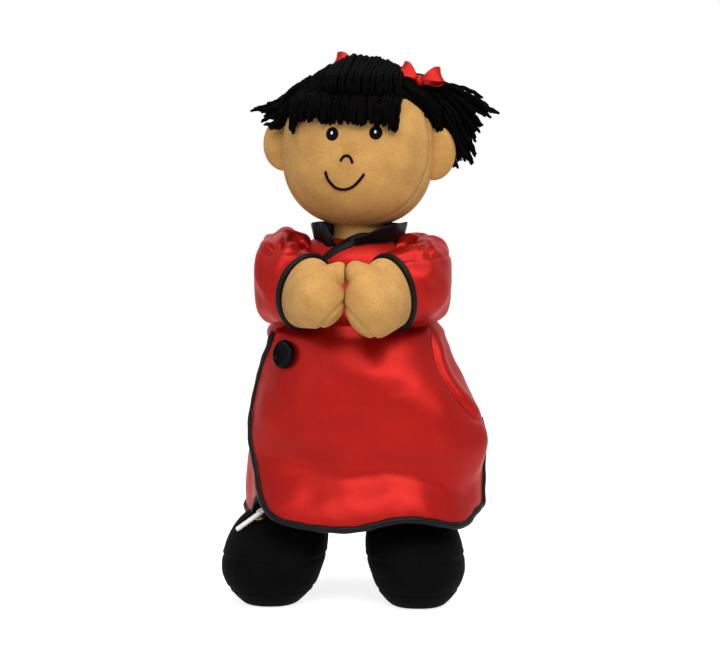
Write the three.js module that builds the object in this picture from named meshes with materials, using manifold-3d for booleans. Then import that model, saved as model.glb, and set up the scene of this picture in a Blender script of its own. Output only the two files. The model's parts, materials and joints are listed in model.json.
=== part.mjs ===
// A stuffed cloth doll in a satin wrap gown, with yarn hair in two bunches and laced cloth boots.
// Millimetres, +Z up, soles on Z = 0. The doll faces -Y, so its own right side is at -X.
import * as THREE from "three";
import { mergeVertices } from "three/addons/utils/BufferGeometryUtils.js";
import Module from "manifold-3d";

const wasm = await Module();
wasm.setup();

const degrees = THREE.MathUtils.degToRad;

// Cloth and fits
const SEAM_GAP = 0.3; // between pieces that are sewn to or laid on each other
const SATIN = 1.6; // lined gown cloth
const SKIN = 2; // velour skin with its backing
const BINDING_RADIUS = 2.2; // rolled satin binding on the gown's edges

// Torso, a stuffed bag that is wider at the hips
const TORSO_BOTTOM = 136;
const TORSO_HEIGHT = 127;
const CHEST_HALF_WIDTH = 37;
const HIP_HALF_WIDTH = 46;
const TORSO_HALF_DEPTH = 30;
const BODY_SIDE_SQUARENESS = 2.4;
const TORSO_END_SQUARENESS = 5;
const TORSO_TOP = TORSO_BOTTOM + TORSO_HEIGHT;
const TORSO_MIDDLE = TORSO_BOTTOM + TORSO_HEIGHT / 2;

// Neck and head
const NECK_RADIUS = 18;
const NECK_LENGTH = 11; // from the torso to the underside of the head
const NECK_X = 3.5; // the head leans a little to the doll's left
const HEAD_HALF = new THREE.Vector3(55.5, 50, 56);
const HEAD_SQUARENESS = 2.35; // fuller at the jaw than an egg
const HEAD_CENTRE = new THREE.Vector3(NECK_X, -3, TORSO_TOP + NECK_LENGTH + HEAD_HALF.z);
const HEAD_TURN = degrees(-5); // towards the doll's right
const HEAD_TILT = degrees(3); // towards the doll's left shoulder
const NOD_LIMIT = degrees(6);
const TURN_RIGHT = degrees(-40);
const TURN_LEFT = degrees(50);
const NOD_DEPTH = 4; // the nod's axis lies this far above the underside of the head
const FACE_SEAM_Y = -13; // the face panel ends here, in front of the ears
const EAR_HALF = new THREE.Vector3(17, 7.5, 21);
const EAR_SINK = 2.5; // the middle of each ear lies this far inside the head
const EAR_Y = 2;
const EYE_HALF_WIDTH = 4.3;
const EYE_HALF_HEIGHT = 4.9;
const EYE_SPOTS = { eye_right: [-13.5, 12], eye_left: [17.5, 12] };
const NOSE_LINE = [[-6, -8.5], [-3.5, -5.5], [-1, -4.5], [1.2, -6], [2.8, -9.8]];
const NOSE_WIDTH = 1.6;
const MOUTH_LINE = [[-16.5, -16.5], [-14, -23], [-8, -28], [-1.5, -29], [4.5, -27], [9.5, -22], [12.5, -17]];
const MOUTH_WIDTH = 1.5;
const THREAD = 1.1; // height of the embroidery over the skin

// Hair and bows, placed from the middle of the head
const HAIR_THICKNESS = 10;
const HAIRLINE = new THREE.Vector3(0, 0.654, 0.757); // normal of the plane that the crown stays above
const HAIRLINE_OFFSET = 12.5;
const FRINGE_THICKNESS = 6;
const FRINGE_BOTTOM = 17;
const FRINGE_HALF_WIDTH = 41;
const FRINGE_X = -4;
const BUNCHES = {
  right: {
    line: [[-28, 14, 46], [-52, 6, 42], [-67, 0, 20]],
    radius: 14,
    bow: [-13, 16, 65],
    lean: -0.25,
  },
  left: {
    line: [[34, 14, 44], [64, 16, 42], [76, 15, 22], [73, 15, 0]],
    radius: 18,
    bow: [41, 0, 55],
    lean: 0.7,
  },
};
const BOW_LOOP_LENGTH = 21;
const BOW_LOOP_HALF_HEIGHT = 8;
const BOW_KNOT_RADIUS = 5.5;
const RIBBON_WIDTH = 13;

// Gown
const GOWN_EASE = 1.6; // between the torso and the lining
const NECK_HOLE_EASE = 6;
const WAIST_Z = 199;
const SIDE_FLARE_TOP = 230; // the bodice spreads below these heights
const FRONT_FLARE_TOP = 240;
const BACK_FLARE_TOP = 256;
const WAIST_HALF_WIDTH = 64;
const WAIST_HALF_DEPTH = 48;
const HEM_HALF_WIDTH = 88;
const HEM_HALF_DEPTH = 66;
const HEM_SHIFT = 9; // the hem hangs towards the doll's left
const HEM_Z = 68;
const HEM_WAVE = 4.5;
const HEM_DIP = degrees(-7); // the hem hangs lowest a little to the right of the front
const HEM_WAVES = { left: 6.4, right: 3.4 }; // waves in a full turn, each way from the dip
const FOLD_DEPTH = 2.4;
const FOLDS = 7;
const FLAP_EDGE = degrees(-75); // free edge, on the doll's right
const FLAP_SEAM = degrees(80); // sewn edge, on the doll's left
const FLAP_CORNER_TURN = degrees(45);
const FLAP_CORNER_DROP = 0.41; // drops are shares of the way from the waist to the hem
const SLIT_CORNER_TURN = degrees(14);
const SLIT_CORNER_DROP = 0.1;
const SLIT_TOP = 0.5;
const SEAM_TURN = 0.08; // between the flap and the back of the skirt
const UNDERLAP_INSET = 6;
const UNDERLAP_RISE = 0.12;
const UNDERLAP_EDGE = degrees(318);
const COLLAR_HALF_WIDTH = 29;
const COLLAR_HALF_DEPTH = 27;
const COLLAR_SPREAD = 3; // the collar is this much wider at its foot
const COLLAR_START = degrees(-4);
const COLLAR_END = degrees(322);
const COLLAR_SINK = 2; // below the top of the torso
const COLLAR_BOTTOM = TORSO_TOP - COLLAR_SINK;
const COLLAR_HEIGHT = 18;
const TAPE = 1.5; // flat binding down the wrap edge on the chest
const TAPE_WIDTH = 6.5;
const TAPE_LENGTH = 52;
const TAPE_SLOPE = -0.2;
const TAPE_X = -3;
const TAPE_DROP = 7; // its middle lies this far below the top of the torso
const BUTTON_RADIUS = 10.4;
const BUTTON_THICKNESS = 4;
const BUTTON_RIM = 2;
const BUTTON_DISH = 1.8;
const BUTTON_TURN = degrees(-40);
const BUTTON_DROP = 0.11;

// Arms, which reach forward and lay the hands together
const SHOULDER_DROP = 14; // below the top of the torso
const SHOULDER_Z = TORSO_TOP - SHOULDER_DROP;
const ARM_RADIUS = 11.5;
const ARM_ROOT_RADIUS = 12;
const SHOULDER_SWING = degrees(35); // upward
const ARMHOLE_EASE = 2;
const ELBOW_RADIUS = 13;
const WRIST_RADIUS = 16;
const ARM_STEPS = [[-13, 24, 0], [-16, 0, 0], [-18, -22, -5], [-14, -42, -12], [6, -60, -20], [15, -76, -22]];
const SHOULDER_AT = 0.18; // shares of the arm's length
const ELBOW_AT = 0.53;
const CUFF_AT = 0.82;
const SLEEVE_CAP = 0.1;
const SLEEVE_HALF_WIDTH = 17; // at the shoulder, where the sleeve is sewn to the bodice
const SLEEVE_HALF_HEIGHT = 24.5;
const CUFF_RADIUS = 26;
const HAND_HALF = new THREE.Vector3(22, 21, 25);
const HAND_REACH = new THREE.Vector3(1, -7, 0); // from the end of the arm's line
const THUMB_HALF = new THREE.Vector3(8, 10, 9);
const THUMB_REACH = new THREE.Vector3(13, 0, 20); // from the middle of the hand

// Legs and boots
const STANCE_SHIFT = -5; // the feet stand a little to the doll's right
const HIP_X = 24;
const HIP_RISE = 2;
const HIP_Z = TORSO_BOTTOM + HIP_RISE;
const HIP_RADIUS = 18;
const HIP_PINCH_RADIUS = 14; // where the leg is drawn in at the hip's seam
const LEG_RADIUS = 21;
const BOOT_X = 56;
const BOOT_Y = -15;
const BOOT_HALF_WIDTH = 35.5;
const BOOT_HALF_LENGTH = 45;
const ANKLE_TAKE_IN = 10; // the boot is this much shorter at the ankle, each way
const BOOT_WIDEST_Z = 36;
const BOOT_BELOW = 42; // half heights of the boot's form, below and above its widest line
const BOOT_ABOVE = 38;
const BOOT_TOP_Z = 68;
const BOOT_LEAN = 11.5; // the ankle stands this far inward of the sole
const SOLE_THICKNESS = 3;
const INSOLE_THICKNESS = 1.6;
const INSOLE_MARGIN = 4;
// Directions from the boot's middle
const EYELET_SPOTS = { outer: [-0.5, -0.5, 0.7], inner: [0.15, -0.7, 0.7] };
const EYELET_RADIUS = 4.2;
const EYELET_BORE = 2.1;
const EYELET_HEIGHT = 1.4;
const LACE_RADIUS = 1.3;
const AGLET_RADIUS = 1.7;
const AGLET_LENGTH = 22;

const UP = new THREE.Vector3(0, 0, 1);
const BACK = new THREE.Vector3(0, 1, 0);
const ACROSS = new THREE.Vector3(1, 0, 0);
const { lerp, clamp, smoothstep } = THREE.MathUtils;
const vectors = (points) => points.map(([x, y, z]) => new THREE.Vector3(x, y, z));

// Materials
const cloth = (color, roughness) => new THREE.MeshStandardMaterial({ color, roughness });
const TAN_VELOUR = cloth(0xc79a57, 0.95);
const FILLING = cloth(0xf0eee8, 1);
const BLACK_THREAD = cloth(0x141214, 0.7);
const BLACK_YARN = cloth(0x0c0a0c, 0.95);
const RED_SATIN = cloth(0xb51d18, 0.4);
const BLACK_SATIN = cloth(0x1c1416, 0.45);
const BLACK_CLOTH = cloth(0x100e0f, 0.9);
const BLACK_GLOSS = cloth(0x0c0c0d, 0.15);
const BOARD = cloth(0x9a8a6c, 1);
const WHITE_LACE = cloth(0xf2f0ec, 0.6);
const BRASS = new THREE.MeshStandardMaterial({ color: 0x8c7a3c, roughness: 0.35, metalness: 1 });

// Moves every point of a geometry with the given function.
function shaped(geometry, place) {
  const points = geometry.getAttribute("position");
  const point = new THREE.Vector3();
  for (let i = 0; i < points.count; i += 1) {
    point.fromBufferAttribute(points, i);
    place(point);
    points.setXYZ(i, point.x, point.y, point.z);
  }
  return geometry;
}

function solid(geometry) {
  const bare = new THREE.BufferGeometry();
  bare.setAttribute("position", geometry.getAttribute("position"));
  bare.setIndex(geometry.getIndex());
  const merged = mergeVertices(bare, 1e-3);
  return new wasm.Manifold(
    new wasm.Mesh({
      numProp: 3,
      vertProperties: new Float32Array(merged.getAttribute("position").array),
      triVerts: new Uint32Array(merged.getIndex().array),
    })
  );
}

function geometryOf(body) {
  const mesh = body.getMesh();
  const geometry = new THREE.BufferGeometry();
  geometry.setAttribute("position", new THREE.BufferAttribute(new Float32Array(mesh.vertProperties), 3));
  geometry.setIndex(new THREE.BufferAttribute(new Uint32Array(mesh.triVerts), 1));
  return geometry;
}

function add(group, name, body, material) {
  const mesh = new THREE.Mesh(geometryOf(body), material);
  mesh.name = name;
  group.add(mesh);
}

// A unit ball with its poles on Z.
const ball = (sides, rows) => new THREE.SphereGeometry(1, sides, rows).rotateX(Math.PI / 2);

const ellipsoid = (half, centre, sides, rows) =>
  solid(ball(sides, rows).scale(half.x, half.y, half.z).translate(centre.x, centre.y, centre.z));

// The ball of a joint, with its poles on the axis that the joint turns about.
function jointBall(radius, centre, axis) {
  const form = new THREE.SphereGeometry(radius, 18, 7);
  form.applyQuaternion(new THREE.Quaternion().setFromUnitVectors(BACK, axis));
  return solid(form.translate(centre.x, centre.y, centre.z));
}

// A round bar between two places on an axis along X.
function barX(radius, from, to, z) {
  const bar = new THREE.CylinderGeometry(radius, radius, Math.abs(to - from), 14);
  return solid(bar.rotateZ(Math.PI / 2).translate((from + to) / 2, 0, z));
}

// Pushes a point of the unit ball out to a body with squarer sides and ends.
function squareOff(point, sides, ends) {
  const across = Math.hypot(point.x, point.y) || 1e-6;
  const side = (Math.abs(point.x / across) ** sides + Math.abs(point.y / across) ** sides) ** (-1 / sides);
  const end = (across ** ends + Math.abs(point.z) ** ends) ** (-1 / ends);
  point.set(point.x * side * end, point.y * side * end, point.z * end);
}

// The frame of a curve with one axis kept square to an upright.
function levelFrame(curve, along, upright = UP) {
  const centre = curve.getPointAt(along);
  const ahead = curve.getTangentAt(along);
  const side = ahead.clone().cross(upright).normalize();
  return { centre, ahead, side, rise: side.clone().cross(ahead) };
}

// A stuffed limb, sleeve or lock of hair: an oval of changing size carried along part of a curve.
function limb(curve, from, to, sides, steps, sizes, upright = UP) {
  return solid(
    shaped(new THREE.CylinderGeometry(1, 1, 1, sides, steps), (point) => {
      const along = lerp(from, to, point.y + 0.5);
      const { centre, side, rise } = levelFrame(curve, along, upright);
      const [halfWidth, halfHeight] = sizes(along);
      const out = point.x * halfWidth;
      const up = point.z * halfHeight;
      point.copy(centre).addScaledVector(side, out).addScaledVector(rise, up);
    })
  );
}

// A six-sided cord along points.
function cord(points, radius, steps) {
  const outline = new THREE.Shape().absarc(0, 0, radius, 0, 2 * Math.PI);
  const extrudePath = new THREE.CatmullRomCurve3(points);
  return solid(new THREE.ExtrudeGeometry(outline, { steps, curveSegments: 3, extrudePath }));
}

// Turns a geometry about an axis along X through a pivot.
function turnedAbout(geometry, pivot, angle) {
  geometry.translate(-pivot.x, -pivot.y, -pivot.z).rotateX(angle);
  return geometry.translate(pivot.x, pivot.y, pivot.z);
}

// A turned piece that stands on a spot with its axis along the spot's outward direction.
function turned(profile, sides, seat, out) {
  const lathe = new THREE.LatheGeometry(
    profile.map(([radius, height]) => new THREE.Vector2(radius, height)),
    sides
  );
  lathe.applyQuaternion(new THREE.Quaternion().setFromUnitVectors(BACK, out));
  return solid(lathe.translate(seat.x, seat.y, seat.z));
}

const doll = new THREE.Group();
doll.name = "doll";

// Torso and its filling, dimpled where the legs are sewn in
function torsoForm(grow) {
  return solid(
    shaped(ball(14, 8), (point) => {
      squareOff(point, BODY_SIDE_SQUARENESS, TORSO_END_SQUARENESS);
      const halfWidth = lerp(HIP_HALF_WIDTH, CHEST_HALF_WIDTH, smoothstep(point.z, -1, 0.6)) + grow;
      point.x *= halfWidth;
      point.y *= TORSO_HALF_DEPTH + grow;
      point.z = TORSO_MIDDLE + point.z * (TORSO_HEIGHT / 2 + grow);
    })
  );
}
const hipCentre = (side) => new THREE.Vector3(side * HIP_X + STANCE_SHIFT, 0, HIP_Z);
const hipSocket = (side) => jointBall(HIP_RADIUS + SEAM_GAP, hipCentre(side), ACROSS);
const hipSockets = hipSocket(-1).add(hipSocket(1));
const torsoSkin = torsoForm(0).subtract(torsoForm(-SKIN)).subtract(hipSockets);
add(doll, "torso_skin", torsoSkin, TAN_VELOUR);
add(doll, "torso_filling", torsoForm(-SKIN - SEAM_GAP).subtract(hipSockets), FILLING);

// Neck, cut below the head for every angle of the nod
const headGroup = new THREE.Group();
headGroup.name = "head";
headGroup.position.copy(HEAD_CENTRE);
headGroup.rotation.set(0, HEAD_TILT, HEAD_TURN, "ZYX");
headGroup.updateMatrix();

function headForm(grow, sides = 24, rows = 15) {
  const form = shaped(ball(sides, rows), (point) => squareOff(point, 2, HEAD_SQUARENESS));
  return solid(form.scale(HEAD_HALF.x + grow, HEAD_HALF.y + grow, HEAD_HALF.z + grow));
}

const nodPivot = new THREE.Vector3(NECK_X, 0, TORSO_TOP + NECK_LENGTH + NOD_DEPTH);
const neckHeight = NECK_LENGTH + 3 * NOD_DEPTH;
const neckBar = new THREE.CylinderGeometry(NECK_RADIUS, NECK_RADIUS, neckHeight, 24).rotateX(Math.PI / 2);
// The room that the head takes when it is nodded and then turned on the neck.
function headRoom(nod, turn) {
  const head = geometryOf(headForm(SEAM_GAP)).applyMatrix4(headGroup.matrix);
  turnedAbout(head, nodPivot, nod).translate(-NECK_X, 0, 0).rotateZ(turn);
  return solid(head.translate(NECK_X, 0, 0));
}
let neck = solid(neckBar.translate(NECK_X, 0, TORSO_TOP + SEAM_GAP + neckHeight / 2));
for (const nod of [-NOD_LIMIT, 0, NOD_LIMIT]) {
  neck = neck.subtract(headRoom(nod, 0));
}
add(doll, "neck", neck, TAN_VELOUR);

// Head: a face panel and a back panel over the filling
const headShell = headForm(0).subtract(headForm(-SKIN, 16, 10));
add(headGroup, "face_panel", headShell.trimByPlane([0, -1, 0], -FACE_SEAM_Y + SEAM_GAP / 2), TAN_VELOUR);
add(headGroup, "head_back", headShell.trimByPlane([0, 1, 0], FACE_SEAM_Y + SEAM_GAP / 2), TAN_VELOUR);
add(headGroup, "head_filling", headForm(-SKIN - SEAM_GAP, 16, 10), FILLING);

// Ears, puffed half discs sewn on behind the face seam
const headClear = headForm(SEAM_GAP);
const crownForm = (grow) =>
  headForm(HAIR_THICKNESS + grow).trimByPlane(HAIRLINE.toArray(), HAIRLINE_OFFSET - grow);
const crownClear = crownForm(SEAM_GAP);
function earForm(side, grow) {
  const centre = new THREE.Vector3(side * (HEAD_HALF.x - EAR_SINK), EAR_Y, 0);
  return ellipsoid(EAR_HALF.clone().addScalar(grow), centre, 14, 8);
}
add(headGroup, "ear_right", earForm(-1, 0).subtract(headClear).subtract(crownClear), TAN_VELOUR);
add(headGroup, "ear_left", earForm(1, 0).subtract(headClear).subtract(crownClear), TAN_VELOUR);
const earsClear = earForm(-1, SEAM_GAP).add(earForm(1, SEAM_GAP));

// Embroidered face: flat shapes, X across and Y up, pressed onto the face panel
const threadLayer = headForm(SEAM_GAP + THREAD).subtract(headClear).trimByPlane([0, -1, 0], 0);
function stitched(shape) {
  const options = { depth: 2 * HEAD_HALF.y, bevelEnabled: false, curveSegments: 8 };
  const punch = new THREE.ExtrudeGeometry(shape, options);
  return solid(punch.rotateX(Math.PI / 2)).intersect(threadLayer);
}
function stitchBand(points, width) {
  const line = new THREE.SplineCurve(points.map(([x, y]) => new THREE.Vector2(x, y)));
  const steps = 2 * points.length;
  const edge = (side) =>
    line.getSpacedPoints(steps).map((point, i) => {
      const ahead = line.getTangentAt(i / steps);
      const out = (side * width) / 2;
      return new THREE.Vector2(point.x - ahead.y * out, point.y + ahead.x * out);
    });
  return stitched(new THREE.Shape(edge(1).concat(edge(-1).reverse())));
}
for (const [name, [x, y]] of Object.entries(EYE_SPOTS)) {
  const oval = new THREE.Shape().absellipse(x, y, EYE_HALF_WIDTH, EYE_HALF_HEIGHT, 0, 2 * Math.PI);
  add(headGroup, name, stitched(oval), BLACK_THREAD);
}
add(headGroup, "nose_stitches", stitchBand(NOSE_LINE, NOSE_WIDTH), BLACK_THREAD);
add(headGroup, "mouth_stitches", stitchBand(MOUTH_LINE, MOUTH_WIDTH), BLACK_THREAD);

// Hair: a crown of yarn and a fringe sewn below it
add(headGroup, "hair_crown", crownForm(0).subtract(headClear), BLACK_YARN);
const fringeBlock = new THREE.BoxGeometry(2 * FRINGE_HALF_WIDTH, 2 * HEAD_HALF.y, HEAD_HALF.z);
fringeBlock.translate(FRINGE_X, -HEAD_HALF.y, FRINGE_BOTTOM + HEAD_HALF.z / 2);
const fringe = headForm(FRINGE_THICKNESS)
  .intersect(solid(fringeBlock))
  .subtract(headClear)
  .subtract(crownClear);
add(headGroup, "hair_fringe", fringe, BLACK_YARN);

// A bunch: locks gathered at the ribbon, full in the middle and blunt at the end
function bunch(points, fullRadius, grow) {
  const size = (along) => {
    const radius = fullRadius * (0.4 + 0.6 * Math.sin(Math.PI * (0.1 + 0.72 * along))) + grow;
    return [radius, radius];
  };
  return limb(new THREE.CatmullRomCurve3(vectors(points)), 0, 1, 14, 7, size, BACK);
}
// A bow: two puffed loops and a knot, tied round the root of a bunch
function bow(centre, lean) {
  const loop = (side) =>
    shaped(ball(10, 7), (point) => {
      const open = 0.75 + 0.25 * point.x * side;
      const out = (BOW_LOOP_LENGTH / 2) * (side + point.x);
      point.set(out, point.y * (RIBBON_WIDTH / 2) * open, point.z * BOW_LOOP_HALF_HEIGHT * open);
    });
  const knot = ball(8, 6).scale(BOW_KNOT_RADIUS, BOW_KNOT_RADIUS, BOW_KNOT_RADIUS);
  const [first, second, middle] = [loop(1), loop(-1), knot].map((part) =>
    solid(part.rotateY(lean).translate(...centre))
  );
  return first.add(second).add(middle).subtract(crownClear);
}
for (const [side, hair] of Object.entries(BUNCHES)) {
  const locks = bunch(hair.line, hair.radius, 0).subtract(crownClear).subtract(headClear).subtract(earsClear);
  add(headGroup, `hair_bunch_${side}`, locks, BLACK_YARN);
  const ribbon = bow(hair.bow, hair.lean).subtract(bunch(hair.line, hair.radius, SEAM_GAP));
  add(headGroup, `bow_${side}`, ribbon, RED_SATIN);
}
doll.add(headGroup);

// Gown bodice: close to the torso, spreading below the arms
function bodiceForm(grow) {
  const ease = GOWN_EASE + SATIN + grow;
  return solid(
    shaped(ball(24, 16), (point) => {
      squareOff(point, BODY_SIDE_SQUARENESS, TORSO_END_SQUARENESS);
      const z = TORSO_MIDDLE + point.z * (TORSO_HEIGHT / 2 + ease);
      const spread = (top) => clamp((top - z) / (top - WAIST_Z), 0, 1) ** 1.5;
      const depthSpread = spread(point.y > 0 ? BACK_FLARE_TOP : FRONT_FLARE_TOP);
      const halfWidth = lerp(CHEST_HALF_WIDTH + ease, WAIST_HALF_WIDTH + grow, spread(SIDE_FLARE_TOP));
      const halfDepth = lerp(TORSO_HALF_DEPTH + ease, WAIST_HALF_DEPTH + grow, depthSpread);
      point.set(point.x * halfWidth, point.y * halfDepth, z);
    })
  );
}
const bodiceSide = CHEST_HALF_WIDTH + GOWN_EASE + SATIN + SEAM_GAP;
const armholeRadius = ARM_ROOT_RADIUS + ARMHOLE_EASE;
const neckHoleRadius = NECK_RADIUS + NECK_HOLE_EASE;
const neckHole = new THREE.CylinderGeometry(neckHoleRadius, neckHoleRadius, TORSO_HEIGHT, 24);
neckHole.rotateX(Math.PI / 2);
const bodice = bodiceForm(0)
  .subtract(bodiceForm(-SATIN))
  .trimByPlane([0, 0, 1], WAIST_Z)
  .subtract(solid(neckHole.translate(NECK_X, 0, TORSO_TOP)))
  .subtract(barX(armholeRadius, -2 * bodiceSide, 2 * bodiceSide, SHOULDER_Z));
add(doll, "gown_bodice", bodice, RED_SATIN);

// Collar, a stand band that is open at the front, and the tape down the wrap edge
const bodiceClear = bodiceForm(SEAM_GAP);
const collarForm = (grow) =>
  solid(
    shaped(new THREE.BoxGeometry(1, 1, 1, 18, 1, 1), (point) => {
      const overrun = grow / COLLAR_HALF_DEPTH;
      const turn = lerp(COLLAR_START - overrun, COLLAR_END + overrun, point.x + 0.5);
      const rise = point.z + 0.5;
      const out = COLLAR_SPREAD * (1 - rise) + grow - (point.y + 0.5) * (SATIN + 2 * grow);
      point.x = NECK_X + (COLLAR_HALF_WIDTH + out) * Math.sin(turn);
      point.y = -(COLLAR_HALF_DEPTH + out) * Math.cos(turn);
      point.z = COLLAR_BOTTOM - grow + rise * COLLAR_HEIGHT;
    })
  );
let collar = collarForm(0).subtract(bodiceClear);
for (const turn of [TURN_RIGHT, 0, TURN_LEFT]) {
  collar = collar.subtract(headRoom(NOD_LIMIT, turn)).subtract(headRoom(-NOD_LIMIT, turn));
}
add(doll, "collar", collar, BLACK_SATIN);

const tapeBar = new THREE.BoxGeometry(TAPE_LENGTH, 4 * TORSO_HALF_DEPTH, TAPE_WIDTH).rotateY(TAPE_SLOPE);
tapeBar.translate(TAPE_X, -2 * TORSO_HALF_DEPTH, TORSO_TOP - TAPE_DROP);
const tape = bodiceForm(SEAM_GAP + TAPE)
  .subtract(bodiceClear)
  .intersect(solid(tapeBar))
  .subtract(collarForm(SEAM_GAP));
add(doll, "neckline_binding", tape, BLACK_SATIN);

// Skirt cloth. Turn is the angle from the front towards the doll's left, drop runs from the waist (0) to the
// hem (1), inset is the depth below the outer face.
function skirtPoint(turn, drop, inset) {
  const across = Math.sin(turn);
  const ahead = Math.cos(turn);
  const power = BODY_SIDE_SQUARENESS;
  const square = (Math.abs(across) ** power + Math.abs(ahead) ** power) ** (-1 / power);
  const spread = Math.sin((Math.PI / 2) * Math.max(0, drop) ** 0.65);
  const fold = FOLD_DEPTH * drop * Math.cos(FOLDS * turn) - inset;
  const halfWidth = lerp(WAIST_HALF_WIDTH, HEM_HALF_WIDTH, spread) + fold;
  const halfDepth = lerp(WAIST_HALF_DEPTH, HEM_HALF_DEPTH, spread) + fold;
  const waves = turn > HEM_DIP ? HEM_WAVES.left : HEM_WAVES.right;
  const hem = HEM_Z - HEM_WAVE * Math.cos(waves * (turn - HEM_DIP));
  return new THREE.Vector3(
    HEM_SHIFT * spread + halfWidth * square * across,
    -halfDepth * square * ahead,
    lerp(WAIST_Z - SEAM_GAP, hem, drop)
  );
}

// How far down the flap's cloth reaches; its free corner is cut away in a wide curve.
function flapDrop(turn) {
  const near = clamp((turn - FLAP_EDGE) / FLAP_CORNER_TURN, 0, 1);
  const far = clamp((FLAP_SEAM - turn) / SLIT_CORNER_TURN, 0, 1);
  return 1 - FLAP_CORNER_DROP * (1 - near) ** 1.6 - SLIT_CORNER_DROP * (1 - far) ** 2;
}
// The columns of the flap stand closer together near its rounded corner.
const flapTurn = (share) => lerp(FLAP_EDGE, FLAP_SEAM, share ** 1.3);

// The flap's bound edge: down the free side, round the corner, along the hem and up the side slit.
const HEM_STEPS = 34;
const flapEdge = [];
for (let i = 0; i < 8; i += 1) {
  flapEdge.push(skirtPoint(FLAP_EDGE, lerp(0.02, flapDrop(FLAP_EDGE), i / 8), SATIN / 2));
}
for (let i = 0; i <= HEM_STEPS; i += 1) {
  const turn = flapTurn(i / HEM_STEPS);
  flapEdge.push(skirtPoint(turn, flapDrop(turn), SATIN / 2));
}
for (let i = 1; i <= 5; i += 1) {
  flapEdge.push(skirtPoint(FLAP_SEAM, lerp(flapDrop(FLAP_SEAM), SLIT_TOP, i / 5), SATIN / 2));
}
const flapCloth = solid(
  shaped(new THREE.BoxGeometry(1, 1, 1, 24, 1, 6), (point) => {
    const turn = flapTurn(point.x + 0.5);
    const drop = (0.5 - point.z) * flapDrop(turn);
    point.copy(skirtPoint(turn, drop, (point.y + 0.5) * SATIN));
  })
);
const bindingCut = BINDING_RADIUS + 2.5 * SEAM_GAP;
const aboveEdge = skirtPoint(FLAP_EDGE, -0.04, SATIN / 2);
add(doll, "gown_flap", flapCloth.subtract(cord([aboveEdge, ...flapEdge], bindingCut, 52)), RED_SATIN);
add(doll, "flap_binding", cord(flapEdge, BINDING_RADIUS, 50), BLACK_SATIN);

// Back of the skirt with the underlap that runs behind the flap
const skirtStart = FLAP_SEAM + SEAM_TURN;
const underlapShare = (turn) => smoothstep(turn, 1.3 * Math.PI, FLAP_EDGE + 2 * Math.PI - 0.1);
const skirtDrop = (turn) => 1 - UNDERLAP_RISE * underlapShare(turn);
function skirtHem(overrun) {
  const points = [];
  for (let i = 0; i <= HEM_STEPS; i += 1) {
    const turn = lerp(skirtStart - overrun, UNDERLAP_EDGE + overrun, i / HEM_STEPS);
    points.push(skirtPoint(turn, skirtDrop(turn), UNDERLAP_INSET * underlapShare(turn) + SATIN / 2));
  }
  return points;
}
const skirtCloth = solid(
  shaped(new THREE.BoxGeometry(1, 1, 1, 28, 1, 4), (point) => {
    const turn = lerp(skirtStart, UNDERLAP_EDGE, point.x + 0.5);
    const drop = (0.5 - point.z) * skirtDrop(turn);
    const tuck = UNDERLAP_INSET * underlapShare(turn) * Math.min(1, 4 * drop + 0.4);
    point.copy(skirtPoint(turn, drop, tuck + (point.y + 0.5) * SATIN));
  })
);
add(doll, "gown_skirt", skirtCloth.subtract(cord(skirtHem(0.05), bindingCut, 32)), RED_SATIN);
add(doll, "skirt_binding", cord(skirtHem(0), BINDING_RADIUS, 32), BLACK_SATIN);

// Button on the flap, a dished disc with a raised rim
const buttonSeat = skirtPoint(BUTTON_TURN, BUTTON_DROP, 0);
const buttonAcross = skirtPoint(BUTTON_TURN + 0.05, BUTTON_DROP, 0).sub(buttonSeat);
const buttonDown = skirtPoint(BUTTON_TURN, BUTTON_DROP + 0.05, 0).sub(buttonSeat);
const buttonOut = buttonDown.cross(buttonAcross).normalize();
const buttonProfile = [
  [0, 0],
  [BUTTON_RADIUS - BUTTON_RIM, 0],
  [BUTTON_RADIUS, BUTTON_THICKNESS / 3],
  [BUTTON_RADIUS - BUTTON_RIM / 3, BUTTON_THICKNESS * 0.85],
  [BUTTON_RADIUS - BUTTON_RIM, BUTTON_THICKNESS],
  [BUTTON_RADIUS - 2 * BUTTON_RIM, BUTTON_THICKNESS - 0.8 * BUTTON_DISH],
  [0, BUTTON_THICKNESS - BUTTON_DISH],
];
const buttonBase = buttonSeat.clone().addScaledVector(buttonOut, SEAM_GAP);
add(doll, "button", turned(buttonProfile, 24, buttonBase, buttonOut), BLACK_GLOSS);

// Arms and sleeves. One side is built on the doll's right and mirrored for the left.
const shoulderRoot = new THREE.Vector3(-CHEST_HALF_WIDTH, 0, SHOULDER_Z);
const armLine = new THREE.CatmullRomCurve3(vectors(ARM_STEPS).map((step) => step.add(shoulderRoot)));
const cuff = levelFrame(armLine, CUFF_AT);
const shoulder = armLine.getPointAt(SHOULDER_AT);
const elbow = armLine.getPointAt(ELBOW_AT);
function sleeveForm(inset) {
  const start = inset / armLine.getLength();
  return limb(armLine, start, 1, 12, 8, (along) => {
    const cap = Math.sqrt(1 - (1 - clamp((along - start) / SLEEVE_CAP, 0.02, 1)) ** 2);
    const open = smoothstep(along, SHOULDER_AT, CUFF_AT);
    const size = (half) => (lerp(half, CUFF_RADIUS, open) - inset) * cap;
    return [size(SLEEVE_HALF_WIDTH), size(SLEEVE_HALF_HEIGHT)];
  });
}
function cuffRing(radius) {
  const ring = new THREE.TorusGeometry(CUFF_RADIUS - SATIN / 2, radius, 6, 20);
  ring.applyMatrix4(new THREE.Matrix4().makeBasis(cuff.side, cuff.rise, cuff.ahead.clone().negate()));
  return solid(ring.translate(...cuff.centre.toArray()));
}
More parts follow.
